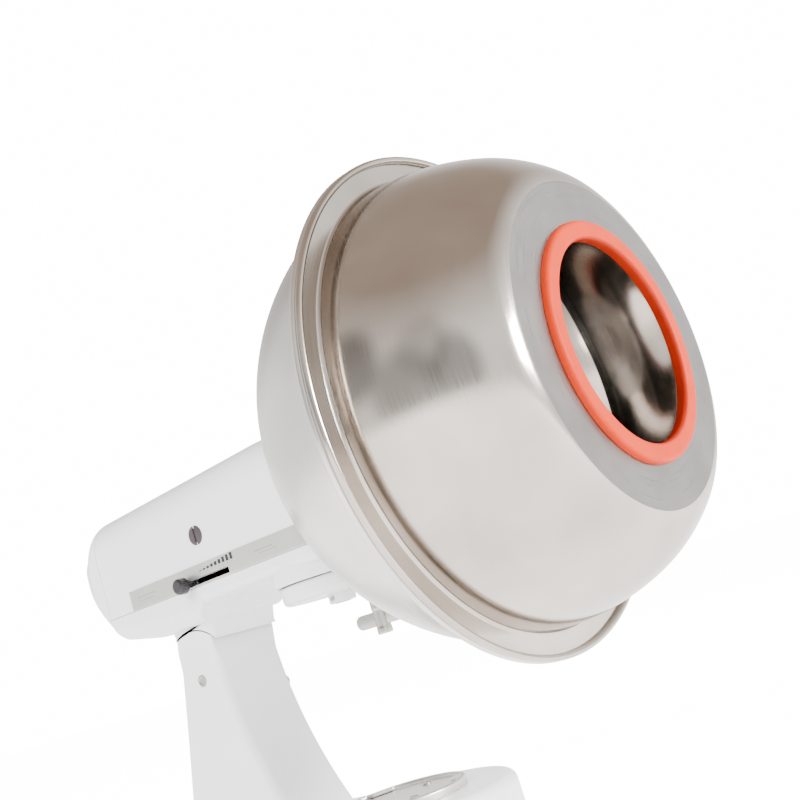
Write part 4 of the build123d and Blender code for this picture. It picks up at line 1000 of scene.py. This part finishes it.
    def fastenings(self) -> None:
        """Slotted screws of the rear cover, the gland under it and the hinge pin with dished ends."""
        screws = Shape()
        place, rear = middle("rear_cover_screws"), float(low("rear_cover_screws")[0])
        reach = float(high("rear_cover_screws")[0])
        for side in (-1.0, 1.0):
            y = side * (float(high("rear_cover_screws")[1]) - 4.6)
            origin = np.array([rear + 3.0, y, place[2]])
            slotted(screws, origin, np.array([-1.0, 0, 0]), np.array([0, 0.6, 0.8]), 4.6, 3.0, 1.4, 0.55, 1.1)
            shank = np.array([(rear + 3.0, 0.0), (rear + 3.0, 2.0), (reach, 2.0), (reach, 0.0)])
            screws.turned(resampled(shank, 2.0, closed=False), np.array([0.0, y, place[2]]), "x", 24)
        screws.piece("rear_cover_machine_screws", "head", "zinc_screw", "rear_cover_screws",
                     finishes=[ZINC.material()])
        gland, bottom, top = middle("cord_gland"), float(low("cord_gland")[2]), float(high("cord_gland")[2])
        bush = filleted([(bottom, 3.6), (bottom, 5.4), (bottom + 6.0, 5.9), (top, 5.9), (top, 3.6)],
                        [0.6, 1.2, 0, 0, 0.6])
        shape = Shape()
        shape.turned(bush, np.array([gland[0], 0.0, 0.0]), "z", 48)
        shape.piece("cord_gland_bush", "head", "black_plastic", "cord_gland", finishes=[BLACK.material()])
        pin, half = middle("hinge_pin"), float(high("hinge_pin")[1])
        half += 0.5
        dish = half - 0.42
        side = filleted([(0.0, 0.0), (dish, 0.0), (dish, 3.3), (half, 3.9), (half, 5.4), (0.0, 5.4)],
                        [0, 0, 0.2, 0.2, 0.4, 0])[1:-1]
        loop = np.concatenate([side * np.array([-1.0, 1.0]), side[::-1]])
        shape = Shape()
        shape.turned(loop, np.array([pin[0], 0.0, pin[2]]), "y", 64)
        shape.piece("hinge_pin_bar", "stand", "shaft_steel", "hinge_pin", finishes=[GROUND.material()])

    def build(self) -> None:
        """Makes every control and fastening."""
        self.speed_lever()
        self.brush_caps()
        self.hub_screw()
        self.lock_lever()
        self.fastenings()


@dataclass
class Planetary:
    """The planetary housing under the head and the beater shaft with its bar."""

    boss_radius: float = 11.5
    bottom: float = 212.0
    top: float = 227.5
    wall: float = 4.0
    tip: float = 5.5
    relief: float = 0.25
    head_gap: float = 0.4  # the shaft stops below the head's floor

    def build(self) -> None:
        """Makes the housing, the shaft and the bar as turned and rounded pieces."""
        housing_low, housing_high = low("planetary_housing"), high("planetary_housing")
        x, radius = 0.5 * (housing_low[0] + housing_high[0]), 0.5 * (housing_high[0] - housing_low[0])
        inner, floor = radius - self.wall, self.bottom + self.wall
        cup = filleted([(self.bottom, 12.0), (self.bottom, radius), (self.top, radius), (self.top, inner),
                        (floor, inner), (floor, 12.0)], [0, 5.0, 0.8, 0.8, 2.0, 0], steps=10)
        shape = Shape()
        shape.turned(cup, np.array([x, 0.0, 0.0]), "z", 144)
        boss_low, boss_high = float(housing_low[2]), float(housing_high[2])
        hub = filleted([(boss_low, 7.05), (boss_low, self.boss_radius), (boss_high, self.boss_radius),
                        (boss_high, 7.05)], [0.5, 1.6, 0.5, 0])
        shape.turned(hub, np.array([x, 0.0, 0.0]), "z", 72)
        beater_x = middle("beater_shaft")[0]
        sleeve = [(206.0, 6.42), (206.0, self.boss_radius), (228.3, self.boss_radius), (228.3, 6.42)]
        sleeve = filleted(sleeve, [0.5, 1.6, 0.4, 0])
        shape.turned(sleeve, np.array([beater_x, 0.0, 0.0]), "z", 72)
        shape.piece("planetary_drive_housing", "planetary", "white_enamel", "planetary_housing",
                    finishes=[ENAMEL.material()])
        end, upper = float(low("beater_shaft")[2]), float(high("beater_shaft")[2]) - self.head_gap
        neck, step = 6.35 - self.relief, end + self.tip
        rod = filleted([(end, 0.0), (end, 6.35), (step, 6.35), (step, neck), (step + 15.0, neck),
                        (step + 15.0, 6.35), (upper, 6.35), (upper, 0.0)],
                       [0, 1.0, 0.1, 0.1, 0.1, 0.1, 0.4, 0])
        shaft = Shape()
        shaft.turned(resampled(rod, 1.0, closed=False), np.array([beater_x, 0.0, 0.0]), "z", 64)
        shaft.piece("beater_shaft_rod", "beater", "shaft_steel", "beater_shaft", finishes=[GROUND.material()])
        bar_low, bar_high = low("beater_bar"), high("beater_bar")
        radius = 0.5 * (bar_high[2] - bar_low[2])
        z = 0.5 * (bar_high[2] + bar_low[2])
        outline = np.concatenate([arc((bar_high[0] - radius, z), radius, -90.0, 90.0, 20),
                                  arc((bar_low[0] + radius, z), radius, 90.0, 270.0, 20)])
        bar = Shape()
        bar.prism(resampled(outline, 1.0), float(bar_low[1]), float(bar_high[1]), 0.9, "y")
        bar.piece("beater_drive_bar", "beater", "shaft_steel", "beater_bar", finishes=[GROUND.material()])


@dataclass
class Stand:
    """Column, base, clamp plate and feet."""

    seat_radius: float = 44.0
    column_edge: float = 7.0

    def column(self) -> None:
        """Column casting: a side outline of arcs, carried across, with rounded edges below the seat."""
        pin, half = middle("hinge_pin"), float(high("column_casting")[1])
        foot = float(low("column_casting")[2])
        px, pz, r = pin[0], pin[2], self.seat_radius
        rear, front = math.radians(118.0), math.radians(53.0)
        rear_point = (px + r * math.cos(rear), pz + r * math.sin(rear))
        front_point = (px + r * math.cos(front), pz + r * math.sin(front))
        parts = [arc_through(rear_point, (px, pz + r), front_point, 40),
                 arc_through(front_point, (-139.0, 145.0), (-100.0, foot), 40)[1:],
                 arc_through((-243.0, foot), (-211.0, 145.0), rear_point, 40)[:-1]]
        outline = resampled(np.concatenate(parts), 2.0)
        near_seat = np.hypot(outline[:, 0] - px, outline[:, 1] - pz)
        on_seat = (near_seat < r + 0.6) & (outline[:, 1] > pz + 20.0)
        edge = np.where(on_seat, 0.8, self.column_edge)
        edge = np.convolve(np.r_[edge[-4:], edge, edge[:4]], np.ones(9) / 9, mode="valid")
        edge = np.where(outline[:, 1] < foot + 2.0, 0.5, edge)
        shape = Shape()
        shape.prism(outline, -half, half, edge, "y", rings=8)
        # The seat quads take the dark finish: painted shade in the joint under the head
        shape.mark_seat(px, pz, r, 1)
        shape.piece("stand_column", "stand", "white_enamel", "column_casting",
                    finishes=[ENAMEL.material(), HINGE_JOINT_SHADE.material()])

    def base(self) -> None:
        """Base casting: a round front under the bowl and a narrower tail, rounded along its upper edge."""
        bottom, top = float(low("base_casting")[2]), float(high("base_casting")[2])
        x, radius = middle("planetary_housing")[0], float(high("base_casting")[1])
        tail, half = float(low("base_casting")[0]), 62.0
        meet = math.degrees(math.asin(half / radius))
        front = arc((x, 0.0), radius, -180.0 + meet + 14.0, 180.0 - meet - 14.0, 120)
        side_x = x - math.sqrt(radius**2 - half**2)
        rear = filleted([(side_x - 26.0, half), (tail, half), (tail, -half), (side_x - 26.0, -half)],
                        [0, 30, 30, 0], closed=False, steps=16)
        outline = resampled(np.concatenate([front, rear]), 2.5)
        smooth = outline.copy()
        for _ in range(6):
            smooth = 0.5 * smooth + 0.25 * (np.roll(smooth, 1, axis=0) + np.roll(smooth, -1, axis=0))
        shape = Shape()
        edge = 8.0
        inward, angle = inward_normals(smooth), np.linspace(0.0, math.pi / 2, 9)
        rows = [np.column_stack([smooth, np.full(len(smooth), bottom)])]
        rows += [np.column_stack([smooth + inward * edge * (1 - math.cos(a)),
                                  np.full(len(smooth), top - edge + edge * math.sin(a))]) for a in angle]
        points = np.stack(rows)
        first = len(shape.faces)
        shape.grid(points, False, True)
        shape.ngon(points[0][::-1])
        shape.ngon(points[-1])
        shape._outward(first)
        shape.piece("stand_base", "stand", "white_enamel", "base_casting", finishes=[ENAMEL.material()])

    def feet_and_plate(self) -> None:
        """Rubber feet with a soft edge, and the pressed bowl plate with three lugs and its screws."""
        base_low = float(high("rubber_feet")[2])
        feet = Shape()
        radius_base = float(high("base_casting")[1])
        x, tail = float(middle("planetary_housing")[0]), float(low("base_casting")[0])
        places = [(x + 0.7 * radius_base, 0.46 * radius_base), (x - 0.4 * radius_base, 0.7 * radius_base),
                  (tail + 30.0, 36.0)]
        profile = filleted([(0.0, 0.0), (0.0, 13.0), (base_low, 12.4), (base_low, 0.0)], [0, 2.0, 0.3, 0])
        for foot_x, foot_y in places:
            for side in (-1.0, 1.0):
                feet.turned(profile, np.array([foot_x, side * foot_y, 0.0]), "z", 48)
        feet.piece("stand_feet", "stand", "foot_rubber", "rubber_feet", finishes=[RUBBER.material()])
        bottom, top = float(low("bowl_clamp_plate")[2]), float(high("bowl_clamp_plate")[2])
        radius = 0.5 * float(high("bowl_clamp_plate")[0] - low("bowl_clamp_plate")[0])
        dish = filleted([(bottom, 0.0), (bottom, radius), (top, radius), (top, radius - 3.5),
                         (bottom + 4.0, radius - 3.5), (bottom + 4.0, 0.0)], [0, 0.4, 1.6, 1.0, 3.0, 0])
        plate = Shape()
        plate.turned(dish, np.array([x, 0.0, 0.0]), "z", 120)
        for turn in (30.0, 150.0, 270.0):
            way = np.radians(turn)
            along = np.array([math.cos(way), math.sin(way)])
            across = np.array([-math.sin(way), math.cos(way)])
            corners = [(radius - 10.5) * along - 11 * across, (radius - 1.5) * along - 11 * across,
                       (radius - 1.5) * along + 11 * across, (radius - 10.5) * along + 11 * across]
            lug = filleted([tuple(np.array([x, 0.0]) + c) for c in corners], [2.0] * 4)
            plate.prism(resampled(lug, 1.2), bottom + 4.5, top, 0.5, "z")
        plate.piece("bowl_plate_pressing", "stand", "pan_steel", "bowl_clamp_plate",
                    finishes=[SATIN_BOWL.material()])
        heads = Shape()
        seat = float(high("clamp_plate_screws")[2])
        for turn in (90.0, 210.0, 330.0):
            way = math.radians(turn)
            origin = np.array([x + 34.0 * math.cos(way), 34.0 * math.sin(way), seat - 2.4])
            slotted(heads, origin, np.array([0, 0, 1.0]), np.array([0.8, 0.6, 0]), 4.0, 2.4, 1.2, 0.5, 1.0)
        heads.piece("bowl_plate_screws", "stand", "zinc_screw", "clamp_plate_screws",
                    finishes=[ZINC.material()])

    def build(self) -> None:
        """Makes the stand's pieces."""
        self.column()
        self.base()
        self.feet_and_plate()


@dataclass
class Studio:
    """Pale floor, soft lights and camera; a patch is azimuth, elevation, reach in degrees and depth."""

    patches: tuple = ((-119.0, 23.0, 13.0, 0.7), (-92.0, 8.0, 15.0, 0.55), (-62.0, 8.0, 15.0, 0.6),
                      (-78.0, 22.0, 12.0, 0.3), (150.0, 35.0, 16.0, 0.5))

    def floor(self) -> None:
        """A wide plain pale floor at the height of the feet."""
        mesh = bpy.data.meshes.new("floor")
        reach = 14.0
        mesh.from_pydata([(-reach, -reach, 0), (reach, -reach, 0), (reach, reach, 0), (-reach, reach, 0)], [],
                         [(0, 1, 2, 3)])
        floor = bpy.data.objects.new("floor", mesh)
        bpy.context.scene.collection.objects.link(floor)
        paint = bpy.data.materials.new("pale_floor")
        paint.use_nodes = True
        tree = paint.node_tree
        shader = tree.nodes["Principled BSDF"]
        shader.inputs["Base Color"].default_value = srgb("#F4F4F4")
        shader.inputs["Roughness"].default_value = 0.9
        shader.inputs["Emission Color"].default_value = srgb("#FFFFFF")
        seen = add_node(tree, "ShaderNodeLightPath")
        lit = add_node(tree, "ShaderNodeMapRange", {"To Min": 1.6, "To Max": 14.0},
                       {"Value": seen.outputs["Is Camera Ray"]})
        tree.links.new(lit.outputs["Result"], shader.inputs["Emission Strength"])
        mesh.materials.append(paint)

    def soft_box(self, name: str, place: tuple, target: tuple, size: tuple, power: float,
                 mirrored: bool) -> None:
        """A rectangular area light that faces a target, and may be left out of mirror images."""
        light = bpy.data.lights.new(name, "AREA")
        light.shape, light.size, light.size_y, light.energy = "RECTANGLE", size[0], size[1], power
        lamp = bpy.data.objects.new(name, light)
        lamp.location = place
        lamp.rotation_euler = (Vector(target) - Vector(place)).to_track_quat("-Z", "Y").to_euler()
        lamp.visible_glossy = mirrored
        bpy.context.scene.collection.objects.link(lamp)

    def surroundings(self) -> None:
        """A white studio for the steel to mirror: dimmer overhead, with soft dark furniture to one side.

        The overhead shade follows the height of the direction. Each dark patch is a cone about a direction:
        one less a smooth step of the dot product, multiplied into the shade.
        """
        world = bpy.data.worlds.new("studio")
        bpy.context.scene.world = world
        world.use_nodes = True
        tree = world.node_tree
        tree.nodes.clear()
        places = add_node(tree, "ShaderNodeTexCoord")
        height = add_node(tree, "ShaderNodeSeparateXYZ", None, {"Vector": places.outputs["Generated"]})
        shade = tree.nodes.new("ShaderNodeValToRGB")
        shade.color_ramp.elements[0].position, shade.color_ramp.elements[1].position = 0.35, 0.8
        shade.color_ramp.elements[0].color = srgb("#FFFFFF")
        shade.color_ramp.elements[1].color = srgb("#A3958A")
        tree.links.new(height.outputs["Z"], shade.inputs["Fac"])
        light = shade.outputs["Color"]
        for azimuth, elevation, reach, depth in self.patches:
            turn, rise = math.radians(azimuth), math.radians(elevation)
            way = (math.cos(rise) * math.cos(turn), math.cos(rise) * math.sin(turn), math.sin(rise))
            near = add_node(tree, "ShaderNodeVectorMath", None, {0: places.outputs["Generated"]},
                            operation="DOT_PRODUCT")
            near.inputs[1].default_value = way
            cone = add_node(tree, "ShaderNodeMapRange", {
                "From Min": math.cos(math.radians(reach * 1.45)),
                "From Max": math.cos(math.radians(reach * 0.7)),
                "To Min": 1.0, "To Max": 1.0 - depth}, {"Value": near.outputs["Value"]},
                interpolation_type="SMOOTHSTEP")
            dimmed = add_node(tree, "ShaderNodeVectorMath", None, {0: light}, operation="SCALE")
            tree.links.new(cone.outputs["Result"], dimmed.inputs["Scale"])
            light = dimmed.outputs["Vector"]
        mirrored = add_node(tree, "ShaderNodeBackground", {"Strength": 2.0}, {"Color": light})
        plain = add_node(tree, "ShaderNodeBackground", {"Color": srgb("#FFFFFF"), "Strength": 16.0})
        seen = add_node(tree, "ShaderNodeLightPath")
        mix = add_node(tree, "ShaderNodeMixShader", None, {"Fac": seen.outputs["Is Camera Ray"]})
        tree.links.new(mirrored.outputs["Background"], mix.inputs[1])
        tree.links.new(plain.outputs["Background"], mix.inputs[2])
        out = add_node(tree, "ShaderNodeOutputWorld")
        tree.links.new(mix.outputs["Shader"], out.inputs["Surface"])

    def camera(self) -> None:
        """The camera, low and in front of the mixer's right side, rolled so that the pan tips up."""
        data = bpy.data.cameras.new("camera")
        data.lens, data.sensor_width, data.shift_y = 51.75, 36.0, 0.00875
        camera = bpy.data.objects.new("camera", data)
        view, up = Vector((-0.602, 0.779, 0.175)).normalized(), Vector((0.337, 0.049, 0.940))
        right = view.cross(up).normalized()
        up = right.cross(view)
        turn = Matrix((right, up, -view)).transposed().to_4x4()
        camera.matrix_world = Matrix.Translation((0.6448, -0.7049, 0.1749)) @ turn
        bpy.context.scene.collection.objects.link(camera)
        bpy.context.scene.camera = camera

    def build(self) -> None:
        """Sets the stage."""
        self.camera()
        self.floor()
        self.surroundings()
        self.soft_box("key_light", (-0.4, -3.4, 2.6), (0.1, 0.0, 0.3), (2.6, 2.0), 260.0, False)
        self.soft_box("crease_light", (3.15, 0.75, 0.93), (0.25, 0.0, 0.31), (1.3, 0.5), 230.0, True)
        self.soft_box("rear_light", (-1.2, 1.8, 2.4), (0.0, 0.0, 0.3), (1.6, 1.2), 60.0, False)


def dress_cad_nodes() -> None:
    """Gives every CAD node the finish of its record slot."""
    for part in frame["record"]["subparts"]:
        node = frame["nodes"][part["node"]]
        node.data.materials.clear()
        node.data.materials.append(SLOT_FINISH[part["material_slot"]].material())


def main() -> None:
    """Builds the stage and every sub-assembly in order."""
    Studio().build()
    dress_cad_nodes()
    for assembly in (CoatingPan(), Head(), Controls(), Planetary(), Stand()):
        assembly.build()
        LOG.info("built %s", type(assembly).__name__)


if __name__ == "__main__":
    main()
